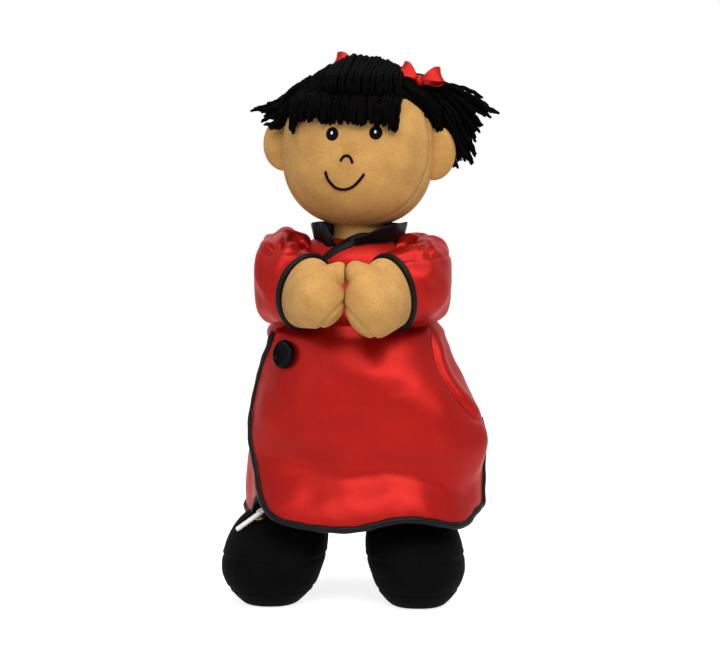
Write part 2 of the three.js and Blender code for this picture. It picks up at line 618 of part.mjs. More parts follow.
const sleeve = sleeveForm(0)
  .trimByPlane(cuff.ahead.clone().negate().toArray(), -cuff.ahead.dot(cuff.centre))
  .subtract(sleeveForm(SATIN))
  .subtract(bodiceClear)
  .subtract(barX(armholeRadius, -bodiceSide - ARM_ROOT_RADIUS, 0, SHOULDER_Z))
  .subtract(cuffRing(BINDING_RADIUS + SEAM_GAP));

// The root of the arm ends on the torso's side and stays clear of it over the whole swing.
let armRoot = barX(ARM_ROOT_RADIUS, shoulder.x, 0, SHOULDER_Z);
for (const swing of [0, SHOULDER_SWING / 2, SHOULDER_SWING]) {
  const torso = geometryOf(torsoForm(SEAM_GAP));
  armRoot = armRoot.subtract(solid(turnedAbout(torso, shoulderRoot, swing)));
}
const upperArm = limb(armLine, SHOULDER_AT, ELBOW_AT, 10, 3, () => [ARM_RADIUS, ARM_RADIUS])
  .add(armRoot)
  .add(ellipsoid(new THREE.Vector3(ARM_RADIUS, ARM_ROOT_RADIUS, ARM_ROOT_RADIUS), shoulder, 10, 6))
  .add(jointBall(ELBOW_RADIUS, elbow, UP));

const handCentre = armLine.getPointAt(1).add(HAND_REACH);
const forearm = limb(armLine, ELBOW_AT, 1, 10, 3, (along) => {
  const radius = lerp(ELBOW_RADIUS - 1, WRIST_RADIUS, (along - ELBOW_AT) / (1 - ELBOW_AT));
  return [radius, radius];
})
  .add(ellipsoid(HAND_HALF, handCentre, 16, 10))
  .add(ellipsoid(THUMB_HALF, handCentre.clone().add(THUMB_REACH), 8, 6))
  .subtract(jointBall(ELBOW_RADIUS + SEAM_GAP, elbow, UP))
  .trimByPlane([-1, 0, 0], SEAM_GAP / 2);

const SIDES = { right: 1, left: -1 };
for (const [side, mirror] of Object.entries(SIDES)) {
  const arm = new THREE.Group();
  arm.name = `arm_${side}`;
  arm.scale.x = mirror;
  add(arm, `upper_arm_${side}`, upperArm, TAN_VELOUR);
  add(arm, `forearm_${side}`, forearm, TAN_VELOUR);
  add(arm, `sleeve_${side}`, sleeve, RED_SATIN);
  add(arm, `cuff_binding_${side}`, cuffRing(BINDING_RADIUS), BLACK_SATIN);
  doll.add(arm);
}

// Legs and boots, built on the doll's right and mirrored for the left
function bootPoint(point, grow) {
  const above = point.z > 0;
  squareOff(point, 2.3, above ? 2.5 : 2);
  const z = BOOT_WIDEST_Z + point.z * ((above ? BOOT_ABOVE : BOOT_BELOW) + grow);
  const ankle = smoothstep(z, BOOT_WIDEST_Z, BOOT_TOP_Z);
  point.x = -BOOT_X + (BOOT_LEAN * z) / BOOT_TOP_Z + point.x * (BOOT_HALF_WIDTH + grow);
  point.y = BOOT_Y * (1 - 0.8 * ankle) + point.y * (BOOT_HALF_LENGTH - ANKLE_TAKE_IN * ankle + grow);
  point.z = z;
  return point;
}
const bootForm = (grow) => solid(shaped(ball(18, 12), (point) => bootPoint(point, grow)));
const layer = (body, bottom, top) => body.trimByPlane([0, 0, 1], bottom).trimByPlane([0, 0, -1], -top);

const boot = bootForm(0);
const insoleBottom = SOLE_THICKNESS + SEAM_GAP;
const insoleTop = insoleBottom + INSOLE_THICKNESS;
const insole = layer(bootForm(-INSOLE_MARGIN), insoleBottom, insoleTop);
const insolePocket = layer(bootForm(SEAM_GAP - INSOLE_MARGIN), SOLE_THICKNESS, insoleTop + SEAM_GAP);
const bootSole = layer(boot, 0, SOLE_THICKNESS);
const bootBand = layer(boot, insoleBottom, BOOT_WIDEST_Z).subtract(insolePocket);
const bootUpper = layer(boot, BOOT_WIDEST_Z + SEAM_GAP, BOOT_TOP_Z);

const hipSeat = new THREE.Vector3(-HIP_X, 0, HIP_Z);
const ankleSeat = new THREE.Vector3(-BOOT_X + BOOT_LEAN, BOOT_Y * 0.2, BOOT_TOP_Z);
const belowAnkle = ankleSeat.clone().lerp(hipSeat, -0.3);
const legSize = (along) => {
  const radius = lerp(HIP_PINCH_RADIUS, LEG_RADIUS, Math.sin(Math.PI * 0.7 * along));
  return [radius, radius];
};
const leg = limb(new THREE.CatmullRomCurve3([hipSeat, ankleSeat, belowAnkle]), 0, 1, 14, 4, legSize, BACK)
  .add(jointBall(HIP_RADIUS, hipSeat, ACROSS))
  .trimByPlane([0, 0, 1], BOOT_TOP_Z + SEAM_GAP);

// Eyelets on the front of each boot
function bootSpot([x, y, z]) {
  const direction = new THREE.Vector3(x, y, z).normalize();
  const seat = bootPoint(direction.clone(), 0);
  const out = bootPoint(direction, 1).sub(seat).normalize();
  return { seat, out };
}
const eyeletProfile = [
  [EYELET_BORE, 0],
  [EYELET_RADIUS, 0],
  [EYELET_RADIUS - 0.5, EYELET_HEIGHT],
  [EYELET_BORE + 0.3, EYELET_HEIGHT],
  [EYELET_BORE, 0],
];
function eyelet({ seat, out }) {
  return turned(eyeletProfile, 12, seat.clone().addScaledVector(out, 2 * SEAM_GAP), out);
}

// The lace end on the right boot: out of the outer eyelet, over in a small loop and down to the aglet
const outerSpot = bootSpot(EYELET_SPOTS.outer);
const laceStart = outerSpot.seat.clone().addScaledVector(outerSpot.out, 3 * SEAM_GAP);
const agletLine = new THREE.Vector3(-0.8, -0.1, -0.58).normalize();
const agletTop = laceStart.clone().add(new THREE.Vector3(1, -7, 4.5));
const lacePoints = [
  laceStart,
  laceStart.clone().addScaledVector(outerSpot.out, 4),
  laceStart.clone().add(new THREE.Vector3(7, -7, 6.5)),
  agletTop.clone().addScaledVector(agletLine, -6),
  agletTop.clone().addScaledVector(agletLine, -SEAM_GAP),
];
const agletEnd = agletTop.clone().addScaledVector(agletLine, AGLET_LENGTH);

for (const [side, mirror] of Object.entries(SIDES)) {
  const foot = new THREE.Group();
  foot.name = `foot_${side}`;
  foot.scale.x = mirror;
  foot.position.x = STANCE_SHIFT;
  add(foot, `leg_${side}`, leg, TAN_VELOUR);
  add(foot, `boot_upper_${side}`, bootUpper, BLACK_CLOTH);
  add(foot, `boot_band_${side}`, bootBand, BLACK_CLOTH);
  add(foot, `boot_sole_${side}`, bootSole, BLACK_CLOTH);
  add(foot, `boot_insole_${side}`, insole, BOARD);
  for (const [place, direction] of Object.entries(EYELET_SPOTS)) {
    add(foot, `eyelet_${place}_${side}`, eyelet(bootSpot(direction)), BRASS);
  }
  if (side === "right") {
    add(foot, "lace_right", cord(lacePoints, LACE_RADIUS, 14), WHITE_LACE);
    add(foot, "aglet_right", cord([agletTop, agletEnd], AGLET_RADIUS, 2), WHITE_LACE);
  }
  doll.add(foot);
}

// The origin is on the floor under the middle of the doll.
const bounds = new THREE.Box3().setFromObject(doll);
const middle = bounds.getCenter(new THREE.Vector3());
doll.position.set(-middle.x, -middle.y, -bounds.min.z);

// The points that the joints turn about, in the frame of the finished doll
const placed = (x, y, z) => new THREE.Vector3(x, y, z).add(doll.position).toArray();
doll.userData.pivots = {
  neck: placed(NECK_X, 0, TORSO_TOP),
  nod: placed(...nodPivot.toArray()),
  shoulder_right: placed(-bodiceSide, 0, SHOULDER_Z),
  shoulder_left: placed(bodiceSide, 0, SHOULDER_Z),
  elbow_right: placed(elbow.x, elbow.y, elbow.z),
  elbow_left: placed(-elbow.x, elbow.y, elbow.z),
  hip_right: placed(...hipCentre(-1).toArray()),
  hip_left: placed(...hipCentre(1).toArray()),
  flap: placed(...skirtPoint(FLAP_SEAM, 1, -BINDING_RADIUS).toArray()),
};

export default doll;
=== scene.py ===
import json
import math
import random

import bmesh
import bpy
from mathutils import Matrix, Vector, noise


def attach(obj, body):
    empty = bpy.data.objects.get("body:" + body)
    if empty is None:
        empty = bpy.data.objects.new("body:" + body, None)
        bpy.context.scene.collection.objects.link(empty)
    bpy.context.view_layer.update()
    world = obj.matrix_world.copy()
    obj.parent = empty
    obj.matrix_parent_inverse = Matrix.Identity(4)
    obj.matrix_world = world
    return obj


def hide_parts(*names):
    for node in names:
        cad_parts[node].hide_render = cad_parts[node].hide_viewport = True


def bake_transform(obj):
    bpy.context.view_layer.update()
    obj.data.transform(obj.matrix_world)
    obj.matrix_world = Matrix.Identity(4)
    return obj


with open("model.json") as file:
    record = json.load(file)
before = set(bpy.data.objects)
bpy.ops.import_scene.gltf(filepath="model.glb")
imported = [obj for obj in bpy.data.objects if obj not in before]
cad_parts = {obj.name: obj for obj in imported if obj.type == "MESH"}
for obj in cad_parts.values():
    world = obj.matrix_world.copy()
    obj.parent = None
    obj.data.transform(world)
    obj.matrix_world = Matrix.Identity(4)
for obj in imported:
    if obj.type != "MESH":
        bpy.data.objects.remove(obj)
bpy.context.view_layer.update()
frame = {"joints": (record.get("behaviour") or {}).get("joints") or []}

# Torso: a stuffed bag of tan velour, wider at the hips, with a seam down each side.
# The gown hides it. It carries the neck, the arms and the legs. Lengths are millimetres on the doll.
MM = 0.001
NECK_X = 3.5  # the neck and the head stand this far to the doll's left
TORSO_TOP = 263
TORSO_BOTTOM = 136
TORSO_MIDDLE = (TORSO_TOP + TORSO_BOTTOM) / 2
TORSO_HALF_HEIGHT = (TORSO_TOP - TORSO_BOTTOM) / 2
CHEST_HALF_WIDTH = 37
HIP_HALF_WIDTH = 46
TORSO_HALF_DEPTH = 30
BODY_SIDE_SQUARENESS = 2.4
BODY_END_SQUARENESS = 5
TORSO_SEAM = (0.9, 2)  # how deep a seam is drawn in, and how wide
joints = {joint["name"]: Vector(joint["pos_m"]) for joint in frame["joints"]}
doll_origin = joints["neck_turn"] - Vector((NECK_X, 0, TORSO_TOP)) * MM
random.seed(7)


def placed(point):
    """A point of the doll in the frame's metres."""
    return doll_origin + Vector(point) * MM


def mix(first, last, share):
    return first + (last - first) * share


def ease(value, start, end):
    """Runs smoothly from 0 at start to 1 at end."""
    share = min(1, max(0, (value - start) / (end - start)))
    return share * share * (3 - 2 * share)


def seam(distance, depth, width):
    """How far a sewn seam draws the surface in, at a distance from its line."""
    return depth * math.exp(-((distance / width) ** 2))


def squared(direction, sides, ends):
    """Pushes a point of the unit ball out to a body with squarer sides and ends."""
    x, y, z = direction
    across = math.hypot(x, y)
    if across < 1e-6:
        return Vector((0, 0, math.copysign(1, z)))
    side = (abs(x / across) ** sides + abs(y / across) ** sides) ** (-1 / sides)
    end = (across**ends + abs(z) ** ends) ** (-1 / ends)
    return Vector((x * side * end, y * side * end, z * end))


def ball(rows, sides, place, pole=2):
    """A closed form with its poles on one axis; place moves each point of the unit ball."""

    def point(row, side):
        lift = math.pi * row / rows
        turn = 2 * math.pi * side / sides
        direction = [math.sin(lift) * math.cos(turn), math.sin(lift) * math.sin(turn)]
        direction.insert(pole, math.cos(lift))
        return place(Vector(direction))

    points = [point(0, 0)]
    for row in range(1, rows):
        points += [point(row, side) for side in range(sides)]
    points.append(point(rows, 0))
    last = len(points) - 1
    faces = []
    for side in range(sides):
        after = (side + 1) % sides
        faces.append((0, 1 + side, 1 + after))
        faces.append((last, last - sides + after, last - sides + side))
        for first in range(1, last - sides, sides):
            faces.append((first + side, first + sides + side, first + sides + after, first + after))
    return points, faces


def make(name, shape, material, thickness=0, levels=0):
    """A piece from points and faces; thickness turns a sheet into cloth, levels smooth it."""
    points, faces = shape
    mesh = bpy.data.meshes.new(name)
    mesh.from_pydata([placed(point) for point in points], [], faces)
    form = bmesh.new()
    form.from_mesh(mesh)
    bmesh.ops.recalc_face_normals(form, faces=form.faces)
    form.to_mesh(mesh)
    form.free()
    mesh.shade_smooth()
    mesh.materials.append(material)
    piece = bpy.data.objects.new(name, mesh)
    bpy.context.scene.collection.objects.link(piece)
    if thickness:
        cloth = piece.modifiers.new("cloth", "SOLIDIFY")
        cloth.thickness = thickness * MM
        cloth.offset = 0
    if levels:
        smooth = piece.modifiers.new("smooth", "SUBSURF")
        smooth.levels = levels
        smooth.render_levels = levels
    return piece


def wear(piece, body, slot, *nodes):
    """The piece stands for these nodes, which it hides, and moves with a body if one is given."""
    if nodes:
        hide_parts(*nodes)
    if body:
        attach(piece, body)


def linear(colour):
    """An sRGB hex colour as linear light."""
    parts = [int(colour[i : i + 2], 16) / 255 for i in (1, 3, 5)]
    return [p / 12.92 if p <= 0.04045 else ((p + 0.055) / 1.055) ** 2.4 for p in parts] + [1]


def add(material, kind, sockets=None, **settings):
    """Adds a node with its settings, and fills its sockets with values or links."""
    tree = material.node_tree
    node = tree.nodes.new(kind)
    for name, value in settings.items():
        setattr(node, name, value)
    for name, value in (sockets or {}).items():
        if isinstance(value, bpy.types.NodeSocket):
            tree.links.new(value, node.inputs[name])
        else:
            node.inputs[name].default_value = value
    return node


def finish(name, roughness, **sockets):
    """A new material with the constant values of its shader."""
    material = bpy.data.materials.new(name)
    material.use_nodes = True
    shader = material.node_tree.nodes["Principled BSDF"]
    shader.inputs["Roughness"].default_value = roughness
    for socket, value in sockets.items():
        shader.inputs[socket.replace("_", " ")].default_value = value
    return material, shader


def per(size):
    """The pattern scale that repeats every so many millimetres."""
    return 1 / (size * MM)


def uneven(name, pale, dark, grain, patch, relief, strength, roughness, stretch=(1, 1, 1), **sockets):
    """A material whose colour varies with grain and patches, with the grain's relief, in millimetres."""
    material, shader = finish(name, roughness, **sockets)
    spot = add(material, "ShaderNodeTexCoord").outputs["Object"]
    run = add(material, "ShaderNodeMapping", {"Vector": spot, "Scale": stretch}).outputs["Vector"]
    grains = {"Vector": run, "Scale": per(grain), "Detail": 3.0, "Roughness": 0.6}
    fine = add(material, "ShaderNodeTexNoise", grains).outputs["Fac"]
    patches = {"Vector": spot, "Scale": per(patch), "Detail": 2.0}
    broad = add(material, "ShaderNodeTexNoise", patches).outputs["Fac"]
    both = add(material, "ShaderNodeMath", {0: fine, 1: broad}).outputs[0]
    limits = {"Value": both, "From Min": 0.7, "From Max": 1.3}
    share = add(material, "ShaderNodeMapRange", limits).outputs["Result"]
    shades = {0: share, 6: linear(dark), 7: linear(pale)}
    colour = add(material, "ShaderNodeMix", shades, data_type="RGBA").outputs[2]
    raised = {"Height": fine, "Strength": strength, "Distance": relief * MM}
    bump = add(material, "ShaderNodeBump", raised).outputs["Normal"]
    material.node_tree.links.new(colour, shader.inputs["Base Color"])
    material.node_tree.links.new(bump, shader.inputs["Normal"])
    return material


# Cotton velour: a short brushed pile, so it is matt with a soft pale rim and a fine mottle.
# The pile is about 0.5 mm; it is drawn at 1.1 mm so that it shows.
VELOUR_RIM = {"Sheen_Weight": 0.12, "Sheen_Roughness": 0.5, "Sheen_Tint": linear("#f0cf98")}
tan_velour = uneven(
    "tan_velour",
    pale="#c89854", dark="#aa7c3f", grain=1.1, patch=16, relief=0.5, strength=0.6,
    roughness=0.92, **VELOUR_RIM,
)


def torso_point(direction):
    form = squared(direction, BODY_SIDE_SQUARENESS, BODY_END_SQUARENESS)
    half_width = mix(HIP_HALF_WIDTH, CHEST_HALF_WIDTH, ease(form.z, -1, 0.6))
    half_width -= seam(form.y * TORSO_HALF_DEPTH, *TORSO_SEAM)
    return Vector(
        (form.x * half_width, form.y * TORSO_HALF_DEPTH, TORSO_MIDDLE + form.z * TORSO_HALF_HEIGHT)
    )


torso = make("torso", ball(40, 72, torso_point), tan_velour)
wear(torso, "body", "skin_velour", "torso_skin", "torso_filling")

# Legs: velour tubes stuffed less than the torso, drawn in where they are sewn to it.
# Each one ends inside its boot.
SIDES = {"right": 1, "left": -1}  # each pair is drawn on the doll's right and mirrored
STANCE_SHIFT = {"right": -7.5, "left": -4}  # the feet stand a little to the doll's right
HIP = Vector((-24, 0, 138))
ANKLE = Vector((-44.5, -3, 68))
HIP_RADIUS = 17.5
HIP_PINCH_RADIUS = 14
LEG_RADIUS = 21
LEG_STEPS = 26
LEG_SEAM = (0.7, 1.8)
LEG_ENDS = (-0.23, 0.97)  # from inside the torso to inside the boot, in shares of the leg


def mirrored(shape, mirror, shift=0):
    points, faces = shape
    return [Vector((mirror * p[0] + shift, p[1], p[2])) for p in points], faces


def loft(rings, closed=True, capped=True):
    """A skin through rings of points, or a sheet through open rows."""
    points = [Vector(point) for ring in rings for point in ring]
    count = len(rings[0])
    faces = []
    for first in range(0, count * (len(rings) - 1), count):
        for i in range(count if closed else count - 1):
            after = (i + 1) % count
            faces.append((first + i, first + after, first + count + after, first + count + i))
    if closed and capped:
        for first in (0, count * (len(rings) - 1)):
            middle = sum(points[first : first + count], Vector()) / count
            points.append(middle)
            for i in range(count):
                faces.append((first + i, first + (i + 1) % count, len(points) - 1))
    return points, faces


def angles(count, closed=False):
    """Evenly spaced angles round a circle; a closed line repeats the first one at its end."""
    return [2 * math.pi * i / count for i in range(count + int(closed))]


def ring(centre, across, rise, size, count):
    """Points round a centre; size gives the radius at an angle."""
    return [centre + size(a) * (across * math.cos(a) + rise * math.sin(a)) for a in angles(count)]


def leg_ring(share):
    centre = mix(HIP, ANKLE, share)
    if share < 0:
        radius = math.sqrt(max(1, HIP_RADIUS**2 - (share * (HIP - ANKLE).length) ** 2))
    else:
        pinch = mix(HIP_RADIUS, HIP_PINCH_RADIUS, ease(share, 0, 0.12))
        radius = mix(pinch, LEG_RADIUS, math.sin(math.pi * 0.7 * min(1, share)))

    def sewn(turn):
        return radius - seam(radius * math.sin(turn), *LEG_SEAM)

    return ring(centre, Vector((1, 0, 0)), Vector((0, 1, 0)), sewn, 40)


leg_rings = [leg_ring(mix(*LEG_ENDS, i / LEG_STEPS)) for i in range(LEG_STEPS + 1)]
for side, mirror in SIDES.items():
    leg = make(f"stuffed_leg_{side}", mirrored(loft(leg_rings), mirror, STANCE_SHIFT[side]), tan_velour)
    wear(leg, f"foot_{side}", "skin_velour", f"leg_{side}")

# Boots: round stuffed feet of black brushed cotton, an upper and a band sewn together at the widest line.
# A second seam lower down joins the sole, which a card stiffener holds flat.
BOOT_X = 56
BOOT_Y = -15
BOOT_HALF_WIDTH = 35.5
BOOT_HALF_LENGTH = 45
ANKLE_TAKE_IN = 10
BOOT_WIDEST_Z = 36
BOOT_BELOW = 42
BOOT_ABOVE = 36
BOOT_TOP_Z = 68
BOOT_LEAN = 11.5
BOOT_UPRIGHT_Z = 24  # the foot leans in above this height
BOOT_SPREAD = {"right": 1.06, "left": 1.0}  # the doll's right boot is pressed a little wider
BOOT_PRESSED_Z = 16
BOOT_SIDE_SQUARENESS = 2.3
BOOT_TOP_SQUARENESS = 2.5
BOOT_SEAM = (1.1, 1.3)
BOOT_STITCH = (2.4, 1.4, 0.3)  # the length of a stitch, the gap to the next, and the thread's radius
SOLE_SEAM = (0.9, 1.2)
SOLE_SEAM_Z = 13
SOLE_ROUND = 2
BOOT_EDGE_RADIUS = 15
BOOT_EDGE_DROP = 4
BOOT_EDGE_TUBE = 2.2

# Brushed cotton: matt black with a faint nap that catches the light on turned edges.
# The knit is about 0.6 mm; it is drawn at 1 mm.
black_cotton = uneven(
    "black_brushed_cotton",
    pale="#0b0a0a", dark="#050505", grain=1.0, patch=22, relief=0.4, strength=0.5,
    roughness=0.86, IOR=1.12,
)


def boot_point(direction, grow=0.0):
    """A point of the right boot's surface in a direction from its middle."""
    above = direction.z > 0
    form = squared(direction, BOOT_SIDE_SQUARENESS, BOOT_TOP_SQUARENESS if above else 2)
    z = BOOT_WIDEST_Z + form.z * ((BOOT_ABOVE if above else BOOT_BELOW) + grow)
    ankle = ease(z, BOOT_WIDEST_Z, BOOT_TOP_Z)
    grow -= seam(z - BOOT_WIDEST_Z, *BOOT_SEAM) + seam(z - SOLE_SEAM_Z, *SOLE_SEAM)
    if z < SOLE_ROUND:
        z = SOLE_ROUND * math.exp(z / SOLE_ROUND - 1)
    x = -BOOT_X + BOOT_LEAN * max(z, BOOT_UPRIGHT_Z) / BOOT_TOP_Z + form.x * (BOOT_HALF_WIDTH + grow)
    length = BOOT_HALF_LENGTH - ANKLE_TAKE_IN * ankle + grow
    return Vector((x, BOOT_Y * (1 - 0.8 * ankle) + form.y * length, z))


def joined(shapes):
    """Several shapes as one."""
    points, faces = [], []
    for more_points, more_faces in shapes:
        first = len(points)
        points += more_points
        faces += [tuple(first + i for i in face) for face in more_faces]
    return points, faces


def tube(line, size, sides=10, capped=True):
    """A bar along a line of points; size gives its radius at a share of the way and at an angle."""
    rings = []
    last = len(line) - 1
    side = (line[1] - line[0]).orthogonal()
    for i, centre in enumerate(line):
        ahead = (line[min(i + 1, last)] - line[max(i - 1, 0)]).normalized()
        side = (side - ahead * side.dot(ahead)).normalized()
        share = i / last
        rings.append(ring(centre, side, ahead.cross(side), lambda angle: size(share, angle), sides))
    return loft(rings, capped=capped)


def distances(line):
    """How far along a line each of its points lies."""
    reach = [0.0]
    for first, last in zip(line, line[1:]):
        reach.append(reach[-1] + (last - first).length)
    return reach


def stitches(line, length, gap, radius):
    """A running stitch: short rounded threads along a line."""
    threads = []
    reach = distances(line)

    def size(share, angle):
        return radius * (0.45 + 0.55 * math.sin(math.pi * share))

    def at(distance):
        for i in range(len(line) - 1):
            if reach[i + 1] >= distance:
                return mix(line[i], line[i + 1], (distance - reach[i]) / (reach[i + 1] - reach[i]))
        return line[-1]

    start = gap / 2
    while start + length < reach[-1]:
        bar = [at(start + length * i / 4) for i in range(5)]
        threads.append(tube(bar, size, sides=6))
        start += length + gap
    return joined(threads)


def boot_line(z, lift):
    """A level line round the boot at a height."""
    line = []
    for turn in angles(96, True):
        slope = 0.0
        for _ in range(24):
            direction = Vector((math.cos(turn), math.sin(turn), slope)).normalized()
            slope += (z - boot_point(direction).z) / 60
        line.append(boot_point(direction, lift))
    return line


def standing(shape, side):
    """A shape of the right boot, moved to where the boot of a side stands."""
    points, faces = shape
    spread = BOOT_SPREAD[side]
    wider = []
    for x, y, z in points:
        pressed = mix(1, spread, ease(z, SOLE_ROUND, BOOT_PRESSED_Z))
        wider.append(Vector((-BOOT_X + (x + BOOT_X) * pressed, y, z)))
    return mirrored((wider, faces), SIDES[side], STANCE_SHIFT[side])


boot_shape = ball(72, 96, boot_point)
boot_seam = joined(
    stitches(boot_line(z, 0.1), *BOOT_STITCH) for z in (BOOT_WIDEST_Z + 2.6, SOLE_SEAM_Z - 2.2)
)
boot_edge_line = [
    ANKLE + Vector((BOOT_EDGE_RADIUS * math.cos(a), BOOT_EDGE_RADIUS * math.sin(a), -BOOT_EDGE_DROP))
    for a in angles(48, True)
]
boot_edge = tube(boot_edge_line, lambda share, angle: BOOT_EDGE_TUBE, sides=8, capped=False)

# Black polyester thread: a thin hard line with a slight shine.
black_thread = uneven(
    "black_thread",
    pale="#090809", dark="#040404", grain=0.7, patch=9, relief=0.2, strength=0.4,
    roughness=0.5, IOR=1.15,
)
for side in SIDES:
    boot = make(f"boot_{side}", standing(boot_shape, side), black_cotton)
    nodes = [f"boot_{part}_{side}" for part in ("upper", "band", "sole", "insole")]
    wear(boot, f"foot_{side}", "boot_cloth", *nodes)
    seams = make(f"boot_stitching_{side}", standing(boot_seam, side), black_thread)
    wear(seams, f"foot_{side}", "black_thread")
    edge = make(f"boot_edge_{side}", standing(boot_edge, side), black_cotton)
    wear(edge, f"foot_{side}", "boot_cloth")

# Eyelets: rolled brass rings, two in the front of each boot.
# They are pressed into the upper, so only their rounded rims stand proud.
EYELET_SPOTS = {"outer": Vector((-0.33, -0.58, 0.7)), "inner": Vector((0.15, -0.6, 0.78))}
EYELET_MIDDLE = 3.1
EYELET_TUBE = 1.1
EYELET_PROUD = 0.75

# Lacquered brass, a little tarnished: warm metal with soft reflections.
brass = uneven(
    "lacquered_brass",
    pale="#a08a4a", dark="#6d5a2c", grain=0.8, patch=5, relief=0.1, strength=0.2,
    roughness=0.32, Metallic=1.0,
)


def boot_spot(direction):
    """The seat and the outward direction of a fitting on the right boot."""
    direction = direction.normalized()
    seat = boot_point(direction)
    return seat, (boot_point(direction, 1) - seat).normalized()


def turned(profile, seat, out, sides=32):
    """A turned piece: a profile of radii and heights about an axis."""
    across = out.orthogonal().normalized()
    rise = out.cross(across)
    rings = []
    for radius, height in profile:
        rings.append(ring(seat + out * height, across, rise, lambda angle: radius, sides))
    return rings


eyelet_profile = [
    (EYELET_MIDDLE + EYELET_TUBE * math.cos(a), EYELET_PROUD * (1 + EYELET_TUBE * math.sin(a)))
    for a in angles(12, True)
]
for side in SIDES:
    for spot, direction in EYELET_SPOTS.items():
        rim = loft(turned(eyelet_profile, *boot_spot(direction)), capped=False)
        eyelet = make(f"brass_eyelet_{spot}_{side}", standing(rim, side), brass)
        wear(eyelet, f"foot_{side}", "brass", f"eyelet_{spot}_{side}")

# Lace end on the right boot: a woven white lace out of the outer eyelet, over in a small loop,
# and into a moulded white aglet that lies across the boot.
LACE_RADIUS = 1.3
AGLET_LENGTH = 22


def smooth_line(knots, count):
    """Evenly spaced points along a smooth curve through knots."""
    knots = [Vector(knot) for knot in knots]
    knots = [2 * knots[0] - knots[1], *knots, 2 * knots[-1] - knots[-2]]
    dense = []
    for a, b, c, d in zip(knots, knots[1:], knots[2:], knots[3:]):
        for i in range(16):
            t = i / 16
            bend = (2 * a - 5 * b + 4 * c - d) * t * t + (3 * b - a - 3 * c + d) * t**3
            dense.append(0.5 * (2 * b + (c - a) * t + bend))
    dense.append(knots[-2])
    reach = distances(dense)
    line = []
    at = 0
    for i in range(count):
        distance = reach[-1] * i / (count - 1)
        while at < len(dense) - 2 and reach[at + 1] < distance:
            at += 1
        step = max(1e-9, reach[at + 1] - reach[at])
        line.append(mix(dense[at], dense[at + 1], (distance - reach[at]) / step))
    return line


# Cotton lace: a white tubular weave with a fine herringbone relief, drawn at 0.9 mm.
white_lace = uneven(
    "white_cotton_lace",
    pale="#f4f2ee", dark="#d9d5cc", grain=0.9, patch=4, relief=0.3, strength=0.6,
    roughness=0.75, Sheen_Weight=0.2,
)
# Acetate aglet: smooth, slightly warm white plastic.
aglet_acetate = uneven(
    "white_acetate",
    pale="#f6f4f0", dark="#e6e2da", grain=3, patch=8, relief=0.05, strength=0.1,
    roughness=0.3, Coat_Weight=0.2,
)

eyelet_seat, eyelet_out = boot_spot(EYELET_SPOTS["outer"])
lace_start = eyelet_seat + eyelet_out * 0.9
aglet_line = Vector((-0.8, -0.1, -0.58)).normalized()
aglet_top = lace_start + Vector((1.5, -6, 4))
lace_knots = [
    lace_start,
    lace_start + eyelet_out * 4,
    lace_start + Vector((5, -5, 7.5)),
    aglet_top - aglet_line * 6,
    aglet_top,
    aglet_top + aglet_line * (AGLET_LENGTH - 2),
]
lace_path = standing((smooth_line(lace_knots, 40), []), "right")[0]
aglet_top = standing(([aglet_top], []), "right")[0][0]
lace = make("lace", tube(lace_path, lambda share, angle: LACE_RADIUS), white_lace)
wear(lace, "foot_right", "white_lace", "lace_right")
aglet_profile = [(0.05, 0), (1.5, 0), (1.75, 0.8)]
aglet_profile += [(1.75, AGLET_LENGTH - 1.5), (1.45, AGLET_LENGTH - 0.4), (0.05, AGLET_LENGTH)]
aglet_rings = turned(aglet_profile, aglet_top, aglet_line, sides=20)
aglet = make("lace_aglet", loft(aglet_rings), aglet_acetate)
wear(aglet, "foot_right", "aglet_plastic", "aglet_right")

# Arms: velour tubes that reach forward inside the sleeves and lay the hands together.
# Each hand is a flat mitten with a short thumb, sewn round its edge and stuffed.
ARM_LINE = [
    (-50, 24, 249), (-53, 0, 249), (-55, -22, 244), (-51, -42, 237), (-31, -60, 229), (-22, -76, 227),
]
UPPER_ARM_AT = 0.2  # shares of the arm's length
ELBOW_AT = 0.53
ELBOW_SEAM_AT = ELBOW_AT + 0.02
CUFF_AT = 0.82
UPPER_ARM_RADIUS = 7.5
ELBOW_RADIUS = 13
WRIST_RADIUS = 15
ARM_ROOT = Vector((-43, -3, 249))  # the rounded end inside the armhole
ARM_ROOT_HALF = Vector((9, 10, 10))
HAND = Vector((-19.3, -83, 227))
HAND_HALF = {"right": Vector((20, 20, 20.8)), "left": Vector((20, 20, 24.3))}
HAND_DROP = {"right": -1.2, "left": -4.4}
THUMB_REACH = {"right": Vector((15, -3, 17.5)), "left": Vector((12, -2, 21.5))}
THUMB_HALF = Vector((7.5, 9, 8.5))
THUMB_STEP = Vector((5, 0, 1.5))  # from its tip back to the palm
MITT_SEAM = (1.3, 1.1)
MITT_SEAM_FACING = Vector((0.73, -0.05, -0.68)).normalized()  # square to the plane of the edge seam
MITT_SEAM_AT = 15.5
HAND_GAP = 0.2
CUFF_HALF = (22.5, 26)  # across and up
CUFF_IN = 2.5  # the hands draw the cuffs towards each other
HEEL_HALF = (22.2, 25.6, 12)  # the heel of the hand fills the cuff
ARM_STEPS = 120
arm_line = smooth_line(ARM_LINE, ARM_STEPS + 1)


def arm_at(share):
    """The middle of the arm and the directions across and up it."""
    place = min(ARM_STEPS - 1e-6, max(0, share * ARM_STEPS))
    first = int(place)
    centre = mix(arm_line[first], arm_line[first + 1], place - first)
    ahead = (arm_line[min(first + 3, ARM_STEPS)] - arm_line[max(first - 2, 0)]).normalized()
    across = ahead.cross(Vector((0, 0, 1))).normalized()
    return centre, across, across.cross(ahead), ahead


def arm_tube(start, end, size, steps=24, sides=28):
    rings = []
    for i in range(steps + 1):
        share = mix(start, end, i / steps)
        centre, across, rise, _ = arm_at(share)
        radius = size(i / steps)
        rings.append(ring(centre, across, rise, lambda angle: radius, sides))
    return loft(rings)


